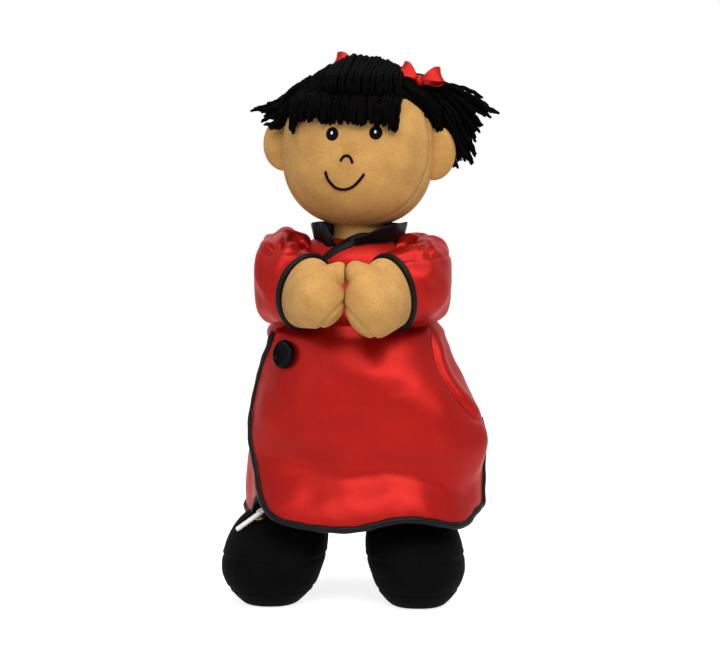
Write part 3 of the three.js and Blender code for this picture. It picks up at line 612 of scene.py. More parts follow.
def ellipsoid(centre, half, rows=24, sides=36):
    return ball(rows, sides, lambda d: centre + Vector((d.x * half.x, d.y * half.y, d.z * half.z)))


def stuffed(name, shapes, material, grain, rounding):
    """Overlapping forms as one skin, rounded together as stuffing does."""
    piece = make(name, joined(shapes), material)
    skin = piece.modifiers.new("skin", "REMESH")
    skin.mode = "VOXEL"
    skin.voxel_size = grain * MM
    soften = piece.modifiers.new("soften", "SMOOTH")
    soften.factor = 0.5
    soften.iterations = rounding
    bpy.context.view_layer.update()
    shape = piece.evaluated_get(bpy.context.evaluated_depsgraph_get())
    mesh = bpy.data.meshes.new_from_object(shape)
    piece.modifiers.clear()
    piece.data = mesh
    mesh.shade_smooth()
    return piece


def crease(piece, draw_in):
    """Moves each point of a piece along its normal by a distance in millimetres."""
    mesh = piece.data
    moves = [draw_in((v.co - doll_origin) / MM) for v in mesh.vertices]
    normals = [v.normal.copy() for v in mesh.vertices]
    for v, normal, move in zip(mesh.vertices, normals, moves):
        v.co += normal * (move * MM)


for side, mirror in SIDES.items():
    upper = arm_tube(
        UPPER_ARM_AT, ELBOW_SEAM_AT, lambda share: mix(UPPER_ARM_RADIUS, ELBOW_RADIUS, share**0.5)
    )
    root = ellipsoid(ARM_ROOT, ARM_ROOT_HALF)
    forms = [mirrored(form, mirror) for form in (upper, root)]
    arm = stuffed(f"stuffed_arm_{side}", forms, tan_velour, grain=1.4, rounding=6)
    wear(arm, f"arm_{side}", "skin_velour", f"upper_arm_{side}")

    middle = HAND + Vector((0, 0, HAND_DROP[side]))
    fore = arm_tube(ELBOW_SEAM_AT, 0.99, lambda share: mix(ELBOW_RADIUS - 1, WRIST_RADIUS, share))
    palm_half = HAND_HALF[side]
    cuff_middle, across, rise, ahead = arm_at(CUFF_AT)
    cuff_middle = cuff_middle - across * CUFF_IN
    thickness = [palm_half.x, palm_half.z, palm_half.y]

    def mitten_form(share):
        """One of the forms that make the mitten, from the cuff to the palm."""
        halves = [mix(heel, palm, share) for heel, palm in zip(HEEL_HALF, thickness)]
        centre = mix(cuff_middle + 4 * ahead, middle, share)

        def mitten_point(d):
            return centre + across * d.x * halves[0] + rise * d.y * halves[1] + ahead * d.z * halves[2]

        return ball(24, 36, mitten_point)

    mitten = [mitten_form(step / 4) for step in range(5)]
    thumb_tip = middle + THUMB_REACH[side]
    thumb = [ellipsoid(thumb_tip - k * THUMB_STEP, THUMB_HALF) for k in range(3)]
    forms = [mirrored(form, mirror) for form in (fore, *mitten, *thumb)]
    hand = stuffed(f"stuffed_hand_{side}", forms, tan_velour, grain=1.0, rounding=12)

    def edge_seam(point, middle=middle, mirror=mirror):
        from_middle = Vector((mirror * point.x, point.y, point.z)) - middle
        return -seam(from_middle.dot(MITT_SEAM_FACING) - MITT_SEAM_AT, *MITT_SEAM)

    crease(hand, edge_seam)
    for v in hand.data.vertices:
        inward = -mirror * (v.co.x - doll_origin.x) / MM
        if inward < HAND_GAP:
            v.co.x += mirror * (inward - HAND_GAP) * MM
    wear(hand, f"hand_{side}", "skin_velour", f"forearm_{side}")

# Neck: a short tube of the same velour, stuffed firmly enough to carry the head.
# It is sewn into the torso below and to the head above.
NECK_RADIUS = 18
NECK_BOTTOM = 262
NECK_TOP = 284
NECK_FLARE = 1.2  # it widens into both seams
neck_profile = []
for row in range(15):
    share = row / 14
    neck_radius = NECK_RADIUS + NECK_FLARE * (2 * share - 1) ** 2
    neck_profile.append((neck_radius, (NECK_TOP - NECK_BOTTOM) * share))
neck_rings = turned(neck_profile, Vector((NECK_X, 0, NECK_BOTTOM)), Vector((0, 0, 1)), sides=48)
neck = make("stuffed_neck", loft(neck_rings), tan_velour)
wear(neck, None, "skin_velour", "neck")
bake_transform(neck)

# Head: a face panel and a back panel of velour, sewn together in front of the ears and under the chin.
# Points of the head are measured from its middle, before it turns and tilts.
HEAD_HALF = Vector((55.5, 50, 56))
HEAD_SQUARENESS = 2.35
HEAD_MIDDLE = Vector((NECK_X, -3, 330))
FACE_SEAM_Y = -13
FACE_SEAM_LEAN = 0.16  # the seam comes forward under the chin
FACE_SEAM = (1.3, 1.4)
FACE_STITCH = (2.0, 1.3, 0.35)
HEAD_TURN = math.radians(-5)
HEAD_TILT = math.radians(3)
head_turn = Matrix.Rotation(HEAD_TURN, 4, "Z") @ Matrix.Rotation(HEAD_TILT, 4, "Y")
head_place = Matrix.Translation(HEAD_MIDDLE) @ head_turn


def head_surface(direction, grow=0.0):
    form = squared(direction, 2, HEAD_SQUARENESS)
    return Vector(
        (form.x * (HEAD_HALF.x + grow), form.y * (HEAD_HALF.y + grow), form.z * (HEAD_HALF.z + grow))
    )


def face_seam_y(z):
    return FACE_SEAM_Y + FACE_SEAM_LEAN * min(0, z)


def head_point(direction):
    point = head_surface(direction)
    return head_place @ head_surface(direction, -seam(point.y - face_seam_y(point.z), *FACE_SEAM))


def on_head(shape):
    points, faces = shape
    return [head_place @ point for point in points], faces


def seam_line(offset, lift):
    """The line round the head beside the face seam."""
    line = []
    for turn in angles(144, True):
        depth = 0.0
        for _ in range(24):
            direction = Vector((math.cos(turn), depth, math.sin(turn))).normalized()
            surface = head_surface(direction)
            depth += (face_seam_y(surface.z) + offset - surface.y) / 60
        line.append(head_surface(direction, lift))
    return line


head = make("stuffed_head", ball(110, 180, head_point, pole=1), tan_velour)
wear(head, "head", "skin_velour", "face_panel", "head_back", "head_filling")
# Tan sewing thread, a little darker than the velour.
tan_thread = uneven(
    "tan_thread",
    pale="#a9783c", dark="#8a5f2c", grain=0.8, patch=6, relief=0.2, strength=0.4,
    roughness=0.6,
)
seam_stitches = on_head(stitches(seam_line(-2.4, 0.15), *FACE_STITCH))
face_seam = make("face_seam_stitches", seam_stitches, tan_thread)
wear(face_seam, "head", "skin_velour")

# Ears: two discs of velour sewn together round the edge, lightly stuffed,
# and sewn to the head behind the face seam.
EAR_HALF = Vector((16.5, 7.5, 20.5))
EAR_RIM = (0.05, 0.9)  # the edge seam takes in this share of the ear
EAR_ROOT = 0.78  # it is thinner where it is sewn on
EAR_MIDDLE = {"right": Vector((-54.5, 2, 1.8)), "left": Vector((54.5, 2, 0.5))}
for side in SIDES:

    def ear_point(d, ear_middle=EAR_MIDDLE[side]):
        rim = 1 - seam(d.y * EAR_HALF.y, *EAR_RIM)
        waist = mix(EAR_ROOT, 1, ease(abs(d.x * EAR_HALF.x + ear_middle.x), 47, 60))
        return ear_middle + Vector(
            (d.x * EAR_HALF.x * rim, d.y * EAR_HALF.y * waist, d.z * EAR_HALF.z * rim)
        )

    ear = make(f"stuffed_ear_{side}", on_head(ball(48, 64, ear_point, pole=1)), tan_velour)
    wear(ear, "head", "skin_velour", f"ear_{side}")

# Face: eyes, nose and smile embroidered in black thread on the face panel,
# with a white glint stitched into each eye.
EYES = {"right": (-11.4, 9.3), "left": (19.1, 11.6)}
EYE_HALF = (4.5, 4.8)
GLINT_HALF = (0.8, 1.2)
GLINT_AT = (-0.3, 0.7)
NOSE_LINE = [(-4.6, -9.5), (-2.4, -6.3), (0.4, -5.4), (2.8, -7), (4.4, -10.6)]
MOUTH_LINE = [
    (-15.3, -16.8), (-13.3, -22.6), (-8, -28), (-1.5, -29.2), (4.5, -27), (9.5, -22), (12.8, -17.2),
]
NOSE_RADIUS = 1.0
MOUTH_RADIUS = 1.05
STITCH_RELIEF = 0.07
LINE_LIFT = 0.35
LINE_STITCHES = 14
# Each oval of a stitched patch: its share of the full size, and its height over the skin.
EYE_HEIGHTS = [
    (0.03, 0.4), (0.35, 0.42), (0.52, 0.45), (0.6, 0.55), (0.72, 0.75), (0.86, 0.7), (0.96, 0.4),
    (1, 0.1), (1, -0.6),
]
GLINT_HEIGHTS = [(0.05, 0.9), (0.5, 0.88), (0.8, 0.8), (1, 0.6), (1, 0.1)]


def on_face(x, z, lift=0.0):
    """The point of the face panel in front of a place on the head's middle plane."""
    half_x, half_y, half_z = HEAD_HALF + Vector((lift, lift, lift))
    across = (1 - abs(z / half_z) ** HEAD_SQUARENESS) ** (1 / HEAD_SQUARENESS)
    return Vector((x, -half_y * math.sqrt(max(0, across**2 - (x / half_x) ** 2)), z))


def embroidered(x, z, half, heights):
    """A patch of stitches: ovals that grow from the middle, each at its own height over the skin."""
    rings = []
    for share, height in heights:
        oval = []
        for turn in angles(40):
            stitch = STITCH_RELIEF * math.cos(20 * turn) if 0.2 < share < 1 else 0
            aside, up = half[0] * share * math.cos(turn), half[1] * share * math.sin(turn)
            oval.append(on_face(x + aside, z + up, height + stitch))
        rings.append(oval)
    return loft(rings)


def embroidered_line(knots, radius):
    """A line of back stitches laid on the face."""
    line = []
    for knot in smooth_line([(x, 0, z) for x, z in knots], 90):
        line.append(on_face(knot.x, knot.z, LINE_LIFT))

    def size(share, angle):
        end = min(1, 30 * min(share, 1 - share) + 0.3)
        return radius * end * (0.9 + 0.1 * abs(math.sin(LINE_STITCHES * math.pi * share)))

    return tube(line, size)


# Rayon embroidery thread with a silky shine: black for the lines and white for the glints.
embroidery = uneven(
    "black_embroidery_thread",
    pale="#080708", dark="#030303", grain=0.8, patch=6, relief=0.2, strength=0.5,
    roughness=0.55, IOR=1.1,
)
white_thread = uneven(
    "white_embroidery_thread",
    pale="#ffffff", dark="#ece9e4", grain=0.8, patch=5, relief=0.1, strength=0.3,
    roughness=0.5,
)
for side, (x, z) in EYES.items():
    eye = make(f"embroidered_eye_{side}", on_head(embroidered(x, z, EYE_HALF, EYE_HEIGHTS)), embroidery)
    wear(eye, "head", "black_thread", f"eye_{side}")
    glint_shape = embroidered(x + GLINT_AT[0], z + GLINT_AT[1], GLINT_HALF, GLINT_HEIGHTS)
    glint = make(f"eye_glint_{side}", on_head(glint_shape), white_thread)
    wear(glint, "head", "white_lace")
nose = make("embroidered_nose", on_head(embroidered_line(NOSE_LINE, NOSE_RADIUS)), embroidery)
wear(nose, "head", "black_thread", "nose_stitches")
mouth = make("embroidered_mouth", on_head(embroidered_line(MOUTH_LINE, MOUTH_RADIUS)), embroidery)
wear(mouth, "head", "black_thread", "mouth_stitches")

# Hair: plied black yarn. The crown runs from the back to a stitched line above the forehead, the fringe
# hangs from that line, and the back is parted in the middle and drawn up to two bunches.
YARN_RADIUS = 1.7
PLY_TURN = 8  # the three plies go once round in this length
CAP_LIFT = 2.6
CAP_TUCK = -3
CAP_LEAN = (0.654, 0.757)  # its edge lies in a plane that leans back
CAP_EDGE = 12
CROWN_EDGE = -1
PARTING_STITCH = (3.2, 0.8, 0.8)
STITCH_Z = 35.5
FRINGE_BOTTOM = 18
YARN_RADII = (1.5, 2.1)  # single strands are thinner or thicker
CROWN_ENDS = (-42, 33)
CROWN_STRANDS = 26
CROWN_LIFTS = (4.0, 7.4)
# The crown over the forehead: how much narrower it runs, the height, and how far it stands out.
CROWN_FRONT = [(0.93, 52, 3), (0.97, 46, 2.8), (1, 40.5, 1.2)]
FRINGE_ENDS = (-43, 33.5)
FRINGE_LAYERS = [(0.4, 1.4), (0, 3.6), (1, 6.2)]  # a shift sideways and the height over the skin

# Acrylic yarn: a deep matt black, so single strands show only where they turn to the light.
black_yarn = uneven(
    "black_acrylic_yarn",
    pale="#070506", dark="#020202", grain=0.8, patch=14, relief=0.35, strength=0.6,
    roughness=0.75, IOR=1.08,
)


def yarn(knots, radius=YARN_RADIUS):
    """A strand of three twisted plies along a smooth line, a little thinner at its cut ends."""
    rough = [Vector(knot) for knot in knots]
    length = distances(rough)[-1]
    line = smooth_line(rough, max(8, int(length / 1.8)))
    start = random.uniform(0, 2 * math.pi)
    turns = 2 * math.pi * length / PLY_TURN

    def size(share, angle):
        end = min(1, 0.55 + 6 * (1 - share))
        return radius * end * (0.86 + 0.2 * math.cos(3 * angle - start - turns * share))

    return tube(line, size, sides=9)


def scattered(x, y, z):
    """A random offset within half sizes."""
    return Vector((random.uniform(-x, x), random.uniform(-y, y), random.uniform(-z, z)))


def hair_direction(x, y, z):
    return Vector((x / HEAD_HALF.x, y / HEAD_HALF.y, z / HEAD_HALF.z)).normalized()


def cap_point(direction):
    """A black sheet under the strands, tucked into the head below the hairline, so that no velour shows
    between them.
    """
    surface = head_surface(direction)
    crown = ease(surface.x, CROWN_ENDS[0] - 4, CROWN_ENDS[0] + 6)
    crown *= ease(surface.x, CROWN_ENDS[1] + 3, CROWN_ENDS[1] - 6)
    inside = CAP_LEAN[0] * surface.y + CAP_LEAN[1] * surface.z - mix(CAP_EDGE, CROWN_EDGE, crown)
    return head_surface(direction, mix(CAP_TUCK, CAP_LIFT, ease(inside, -2.5, 1.5)))


def swept(start, end, lifts, steps=7):
    """A line over the head from one direction to another, at changing heights over the skin."""
    line = []
    for i in range(steps + 1):
        share = i / steps
        place = share * (len(lifts) - 1)
        low = min(int(place), len(lifts) - 2)
        lift = mix(lifts[low], lifts[low + 1], place - low)
        line.append(head_surface(mix(start, end, share).normalized(), lift))
    return line


strands = []
for layer, lift in enumerate(CROWN_LIFTS):
    for i in range(CROWN_STRANDS):
        x = mix(*CROWN_ENDS, (i + 0.5 * layer) / (CROWN_STRANDS - 0.5)) + random.uniform(-0.9, 0.9)
        back = hair_direction(x * 0.7, 26, 46)
        top = hair_direction(x * 0.86, -4, 56)
        flat = 1 - 0.8 * ease(x, -4, CROWN_ENDS[0]) - 0.25 * ease(x, 8, CROWN_ENDS[1])
        wobble = random.uniform(-0.8, 0.8)
        over = swept(back, top, (lift * flat, (lift + 2.5) * flat + wobble), steps=4)
        spread = 5 * ease(x, -24, CROWN_ENDS[0])  # the right end fans out towards its bunch
        for narrow, z, out in CROWN_FRONT:
            over.append(on_face((x - spread) * narrow, z - 1.2 * spread, max(3, (lift + out) * flat)))
        over.append(on_face(x - spread, STITCH_Z - 1.2 * spread, 3))
        knots = [knot + scattered(0.7, 0.6, 0.5) for knot in over]
        strands.append(yarn(knots, random.uniform(*YARN_RADII)))

fringe = []
for layer, lift in FRINGE_LAYERS:
    for i in range(CROWN_STRANDS + 1):
        share = (i + 0.5 * layer) / (CROWN_STRANDS + 0.5)
        x = mix(*FRINGE_ENDS, share) + random.uniform(-0.5, 0.5)
        bottom = FRINGE_BOTTOM + random.uniform(-2.8, 2.4)
        bottom -= 8 * ease(share, 0.12, 0) + 4 * ease(share, 0.86, 1)  # it hangs lower at both ends
        knots = []
        for z, out in ((STITCH_Z + 4, 2.6), (STITCH_Z - 2, lift + 0.8), (27, lift + 1.8), (bottom, lift)):
            spread = x + (STITCH_Z - z) * 0.08 * (share - 0.5)
            limit = 0.93 * HEAD_HALF.x * math.sqrt(1 - (z / (HEAD_HALF.z + out)) ** 2)
            knots.append(on_face(max(-limit, min(limit, spread)), z, out) + scattered(1, 0.5, 0))
        fringe.append(yarn(knots, random.uniform(*YARN_RADII)))
stitch_line = []
for i in range(41):
    x = mix(CROWN_ENDS[0] + 2, CROWN_ENDS[1] - 2, i / 40)
    stitch_line.append(on_face(x, STITCH_Z + 0.6 * math.sin(x / 7), 6.0))

# The back of the hair: strands from the parting, drawn over the head to the root of each bunch.
# More of them follow the hairline from the crown's ends, past the temples and behind the ears.
ROOTS = {"right": (-39, 10, 38), "left": (38, 14, 46)}
ROOT_LIFT = {"right": 0, "left": 2.5}
BACK_STRANDS = 26
BACK_LIFTS = (4.2, 6.8)
PARTING_TOP = math.radians(62)
PARTING_BOTTOM = math.radians(-33)
# The hairline: places on the head from the crown's end to behind the ear, and how much higher the yarn lies.
HAIRLINE = [(32, -25, 47, -1.5), (44, -18, 33, 1.2), (51, -8, 20, 0.8), (51, 9, 4, 0.4), (51, 13, -16, 0)]
HAIRLINE_STRANDS = 13
HAIRLINE_LIFTS = (3.2, 5.4)
NAPE_STRANDS = 15
for side, mirror in SIDES.items():
    root = hair_direction(*ROOTS[side])
    for layer, lift in enumerate(BACK_LIFTS):
        for i in range(BACK_STRANDS):
            fall = (i + 0.5 * layer) / (BACK_STRANDS - 0.5)
            angle = mix(PARTING_TOP, PARTING_BOTTOM, fall)
            edge = Vector((-mirror * 0.05, math.cos(angle), math.sin(angle)))
            aim = root + Vector([random.uniform(-0.11, 0.11) for _ in range(3)])
            lifts = (lift - 1.5, lift + 0.6, lift + ROOT_LIFT[side])
            strands.append(yarn(swept(edge.normalized(), aim.normalized(), lifts)))
    for layer, lift in enumerate(HAIRLINE_LIFTS):
        for i in range(HAIRLINE_STRANDS):
            back = 3.1 * i + 1.5 * layer
            knots = []
            for x, y, z, extra in HAIRLINE:
                wander = random.uniform(-0.8, 0.8)
                way = hair_direction(-mirror * x, y + back + wander, z - 0.12 * back)
                knots.append(head_surface(way, lift + extra))
            strands.append(yarn(knots))
    for i in range(NAPE_STRANDS):
        fall = i / (NAPE_STRANDS - 1)
        low = Vector((-mirror * mix(0.15, 0.95, fall), mix(0.95, 0.42, fall), mix(-0.42, 0.0, fall)))
        strands.append(yarn(swept(low.normalized(), root, (3.2, 5.5, 4.5 + ROOT_LIFT[side]))))
crown = make("yarn_crown", on_head(joined([ball(60, 96, cap_point), *strands])), black_yarn)
wear(crown, "head", "black_yarn", "hair_crown")
yarn_fringe = make("yarn_fringe", on_head(joined(fringe)), black_yarn)
wear(yarn_fringe, "head", "black_yarn", "hair_fringe")
parting = make("parting_stitches", on_head(stitches(stitch_line, *PARTING_STITCH)), black_thread)
wear(parting, "head", "black_thread")

# Bunches: the strands leave each root, fan out past the ear and end in loose cut tips.
# The doll's right bunch lies flat over the temple, its left one is fuller.
# TIPS is where the strands end, and MIDDLES what they pass half way there.
TIPS = {
    "right": [(-82, 4, 24), (-71, 0, 20.5), (-74, 6, 16.5), (-71, 2, 14.5), (-65, -4, 12.5), (-60, -8, 12)],
    "left": [
        (88, 12, 38), (99, 16, 31), (88.5, 10, 21.5), (83, 18, 9.5), (84.5, 8, -1), (82.5, 14, -6),
        (70.5, 12, -9), (56, 20, -13),
    ],
}
MIDDLES = {
    "right": [(-46, -4, 43), (-47, -8, 38), (-48, -6, 36), (-49, -12, 32), (-49.5, -17, 29), (-49, -21, 25)],
    "left": [
        (59, 8, 49), (66, 12, 46), (68, 4, 41), (66, 14, 37), (66, 2, 31), (62, 10, 26),
        (60, 8, 20), (56, 20, 8),
    ],
}
STARTS = {"right": ((-20, 3, 56), (-36, -24, 40)), "left": ((31, 14, 57), (36, -6, 55))}
START_LIFT = {"right": 2.2, "left": 7}
COUNTS = {"right": 32, "left": 92}
SPREAD_Y = {"right": 7, "left": 15}
SPREAD_Z = {"right": 4, "left": 2.5}
LATE_RISE = {"right": -3.2, "left": 0.8}
for side in SIDES:
    locks = []
    tips, middles = TIPS[side], MIDDLES[side]
    for i in range(COUNTS[side]):
        leading = i < len(tips)  # the strands that draw the outline come first
        place = i if leading else random.uniform(0, len(tips) - 1.001)
        low = int(place)
        high = min(low + 1, len(tips) - 1)
        tip = mix(Vector(tips[low]), Vector(tips[high]), place - low)
        middle = mix(Vector(middles[low]), Vector(middles[high]), place - low)
        root = mix(*[Vector(end) for end in STARTS[side]], place / (len(tips) - 1)) + scattered(3, 4, 2)
        start = head_surface(hair_direction(*root), START_LIFT[side])
        spread = Vector()
        if not leading:
            tip = mix(tip, middle, random.uniform(0.0, 0.3))
            spread = scattered(3, SPREAD_Y[side], SPREAD_Z[side])
        late = mix(middle, tip, 0.55) + spread * 0.8 + scattered(1.5, 1.5, 1.5)
        late.z += LATE_RISE[side]
        rise = mix(start, middle, 0.5) + spread * 0.3 + Vector((0, 0, 1.2))
        locks.append(yarn([start, rise, middle + spread * 0.6, late, tip + spread]))
    bunch = make(f"yarn_bunch_{side}", on_head(joined(locks)), black_yarn)
    wear(bunch, "head", "black_yarn", f"hair_bunch_{side}")

# Bows: red satin ribbon tied round the root of each bunch, two loops and a knot.
# The doll's right one stands behind the crown, its left one lies folded flat towards the front.
RIBBON_WIDTH = 13
RIBBON_THICKNESS = 0.7
LOOP_LENGTH = 17
LOOP_HALF_HEIGHT = 4.5
KNOT_HALF = Vector((3.4, 5.4, 4.4))
# Each bow's knot, the ways its two loops run, and the way it faces.
BOWS = {
    "right": (Vector((-6, 13, 60.5)), [(-0.85, -0.05, 0.22), (0.8, 0.5, -0.1)], (0.1, -0.7, 0.6)),
    "left": (Vector((43, -10, 50.5)), [(-0.82, 0.1, 0.5), (0.92, 0.25, 0.3)], (0.1, -0.9, 0.45)),
}

# Polyester satin: long smooth floats give a bright silky sheen that keeps the cloth's own red.
# The floats are about 0.3 mm; they are drawn at 1 mm. The painted shade and light of slight creases darken
# and lighten its colour in patches of 26 mm.
SATIN_SHEEN = {"Metallic": 0.5, "IOR": 1.28, "Specular_IOR_Level": 1.0, "Specular_Tint": linear("#ffb0a8")}
FLOATS_RUN = (1, 1, 0.35)  # the floats run upright
red_satin = uneven(
    "red_polyester_satin",
    pale="#a0130e", dark="#8f100b", grain=1.0, patch=26, relief=0.25, strength=0.14,
    roughness=0.39, stretch=FLOATS_RUN, **SATIN_SHEEN,
)


def ribbon_loop(centre, across, rise, depth):
    """One loop of a bow: a strip that leaves the knot, turns over and comes back."""
    rows = []
    for turn in angles(28, True):
        out = LOOP_LENGTH * (1 - math.cos(turn)) / 2
        full = 0.35 + 0.65 * math.sin(turn / 2) ** 0.8
        high = LOOP_HALF_HEIGHT * math.sin(turn) * full
        wide = RIBBON_WIDTH / 2 * (0.3 + 0.7 * ease(out, 1, 0.8 * LOOP_LENGTH))
        row = []
        for k in range(9):
            side = k / 4 - 1
            cup = 1.2 * (side * side - 0.5) * full
            row.append(centre + across * (out + cup) + rise * high + depth * (wide * side))
        rows.append(row)
    return loft(rows, closed=False)


for side, (centre, ways, facing) in BOWS.items():
    loops = []
    for way in ways:
        across = Vector(way).normalized()
        depth = across.cross(Vector(facing)).normalized()
        loops.append(ribbon_loop(centre, across, depth.cross(across).normalized(), depth))
    bow = make(f"ribbon_bow_{side}", on_head(joined(loops)), red_satin, RIBBON_THICKNESS, levels=1)
    wear(bow, "head", "red_satin", f"bow_{side}")

    def knot_point(d, centre=centre):
        pleat = 1 + 0.06 * math.cos(9 * math.atan2(d.z, d.x))
        return centre + Vector((d.x * KNOT_HALF.x * pleat, d.y * KNOT_HALF.y, d.z * KNOT_HALF.z * pleat))

    knot = make(f"bow_knot_{side}", on_head(ball(20, 36, knot_point, pole=1)), red_satin)
    wear(knot, "head", "red_satin")

# Bodice: lined red satin over the torso, spreading below the arms to the waist seam.
# The armholes are cut where the sleeves are sewn in.
SATIN = 1.4  # the thickness of the lined cloth
BODICE_EASE = 3.2
WAIST_Z = 199
SIDE_FLARE_TOP = 230
FRONT_FLARE_TOP = 240
BACK_FLARE_TOP = 256
WAIST_HALF_WIDTH = 64
WAIST_HALF_DEPTH = 48
NECK_HOLE_RADIUS = 23
SHOULDER_Z = 249
ARMHOLE_RADIUS = 14
BODICE_LIFT = 0.6
BODICE_SWELL = (21, 1.3)  # the size and height of the soft swells
WAIST_GATHER = (12, 1)
WAIST_TAKE_IN = 2.5
BODICE_COLUMNS = 120
BODICE_ROWS = 44


def bodice_point(direction, grow=0.0):
    form = squared(direction, BODY_SIDE_SQUARENESS, BODY_END_SQUARENESS)
    out = BODICE_EASE + grow
    z = TORSO_MIDDLE + form.z * (TORSO_HALF_HEIGHT + out)

    def spread(top):
        return min(1, max(0, (top - z) / (top - WAIST_Z))) ** 1.5

    depth_spread = spread(BACK_FLARE_TOP if form.y > 0 else FRONT_FLARE_TOP)
    half_width = mix(CHEST_HALF_WIDTH + out, WAIST_HALF_WIDTH + grow, spread(SIDE_FLARE_TOP))
    half_depth = mix(TORSO_HALF_DEPTH + out, WAIST_HALF_DEPTH + grow, depth_spread)
    return Vector((form.x * half_width, form.y * half_depth, z))


def cloth_waves(point, size, height):
    """Soft uneven swells of hanging cloth, of a size and height in millimetres."""
    return height * noise.noise(point / size)


def toward(turn, lift):
    """The direction at a turn from the front to the doll's left, and at an angle from straight up."""
    return Vector((math.sin(lift) * math.sin(turn), -math.sin(lift) * math.cos(turn), math.cos(lift)))


def holds_until(test, low, high):
    """How far from low towards high a test holds."""
    for _ in range(40):
        middle = (low + high) / 2
        if test(middle):
            low = middle
        else:
            high = middle
    return high


def bodice_column(turn):
    """The cloth from the neck hole down to the waist, at a turn from the front."""

    def in_neck_hole(lift):
        point = bodice_point(toward(turn, lift))
        return math.hypot(point.x - NECK_X, point.y) < NECK_HOLE_RADIUS

    def above_waist(lift):
        return bodice_point(toward(turn, lift)).z > WAIST_Z - 1

    top = holds_until(in_neck_hole, 0.15, math.pi / 2)
    bottom = holds_until(above_waist, top, math.pi * 0.75)
    column = []
    for row in range(BODICE_ROWS + 1):
        share = row / BODICE_ROWS
        way = toward(turn, mix(top, bottom, share))
        point = bodice_point(way)
        swell = cloth_waves(point, *BODICE_SWELL) * ease(share, 0, 0.3)
        gather = (cloth_waves(point, *WAIST_GATHER) - WAIST_TAKE_IN) * ease(share, 0.8, 1)
        column.append(bodice_point(way, BODICE_LIFT + swell + gather))
    return column


bodice_columns = [bodice_column(turn) for turn in angles(BODICE_COLUMNS)]
bodice_points, bodice_faces = loft(list(zip(*bodice_columns)), capped=False)


def in_armhole(face):
    middle = sum((bodice_points[i] for i in face), Vector()) / len(face)
    return abs(middle.x) > 25 and math.hypot(middle.y, middle.z - SHOULDER_Z) < ARMHOLE_RADIUS


bodice_faces = [face for face in bodice_faces if not in_armhole(face)]
bodice = make("satin_bodice", (bodice_points, bodice_faces), red_satin, SATIN, levels=1)
wear(bodice, "body", "red_satin", "gown_bodice")

# Collar: a stand band of black satin, open at the front, sewn round the neck of the bodice.
# Its doll's-left end runs down into the binding of the wrap edge.
COLLAR_FOOT = 31
COLLAR_TOP = 34.5
COLLAR_BOTTOM_Z = 260
COLLAR_HEIGHT = 17.2
COLLAR_FRONT_HEIGHT = 7  # it is lower where it runs into the wrap edge
COLLAR_FRONT_LIFT = 3.4
COLLAR_END_DROP = 6  # its other end is crumpled and sits lower
COLLAR_THICKNESS = 1.6
COLLAR_RIPPLE = 0.7
COLLAR_CRUMPLE = 0.9
COLLAR_BULGE = 2.2
COLLAR_START = math.radians(-2)
COLLAR_END = math.radians(320)
COLLAR_END_FOOT = math.radians(346)  # its doll's-right end slants in towards the wrap

# Satin bias binding: black with a soft shine and fine diagonal ribs, drawn at 1.2 mm.
RIBS_RUN = (1, 0.4, 1)
black_satin = uneven(
    "black_satin_binding",
    pale="#100a0b", dark="#070505", grain=1.2, patch=10, relief=0.3, strength=0.35,
    roughness=0.45, stretch=RIBS_RUN, IOR=1.2,
)


def collar_row(rise):
    row = []
    for i in range(121):
        share = i / 120
        turn = mix(COLLAR_START, mix(COLLAR_END_FOOT, COLLAR_END, rise), share)
        front = ease(share, 0.17, 0)
        lumpy = ease(share, 0.86, 0.95)
        bottom = COLLAR_BOTTOM_Z + COLLAR_FRONT_LIFT * ease(share, 0.3, 0.2) * ease(share, -0.03, 0.07)
        bottom -= COLLAR_END_DROP * lumpy
        top = COLLAR_BOTTOM_Z + mix(COLLAR_HEIGHT, COLLAR_FRONT_HEIGHT, front)
        ripple = COLLAR_RIPPLE * math.sin(9 * turn) * rise
        ripple += lumpy * COLLAR_CRUMPLE * math.sin(19 * turn + 4 * rise)
        bulge = COLLAR_BULGE * lumpy * math.sin(math.pi * rise)
        radius = mix(COLLAR_FOOT, COLLAR_TOP, rise) + ripple + bulge
        z = mix(bottom, top, rise) + 0.6 * math.sin(5 * turn) * rise
        row.append(Vector((NECK_X + radius * math.sin(turn), -(radius - 3) * math.cos(turn), z)))
    return row


collar_rows = [collar_row(i / 8) for i in range(9)]
collar = make("satin_collar", loft(collar_rows, closed=False), black_satin, COLLAR_THICKNESS, levels=1)
wear(collar, "body", "black_satin", "collar")

# Wrap edge: a flat strip of the same binding, sewn down along the crossing edge of the bodice.
# It runs from the collar at the doll's left across the chest towards its right arm.
TAPE_HALF_WIDTH = 3.6
TAPE_THICKNESS = 1.2
TAPE_STEPS = 40
TAPE_LINE = [(20, 0, 265.5), (7, 0, 266.5), (-6, 0, 260.5), (-17, 0, 252.5), (-27, 0, 244.5)]
tape_line = smooth_line(TAPE_LINE, TAPE_STEPS + 1)


def on_bodice(x, z, lift):
    """The point on the front of the bodice before a place on its middle plane."""
    middle = Vector((0, 0, TORSO_MIDDLE))

    def outside(y):
        spot = Vector((x, y, z)) - middle
        way = Vector((x / CHEST_HALF_WIDTH, y / TORSO_HALF_DEPTH, spot.z / TORSO_HALF_HEIGHT))
        return spot.length > (bodice_point(way.normalized(), lift) - middle).length

    return Vector((x, holds_until(outside, -90, 0), z))


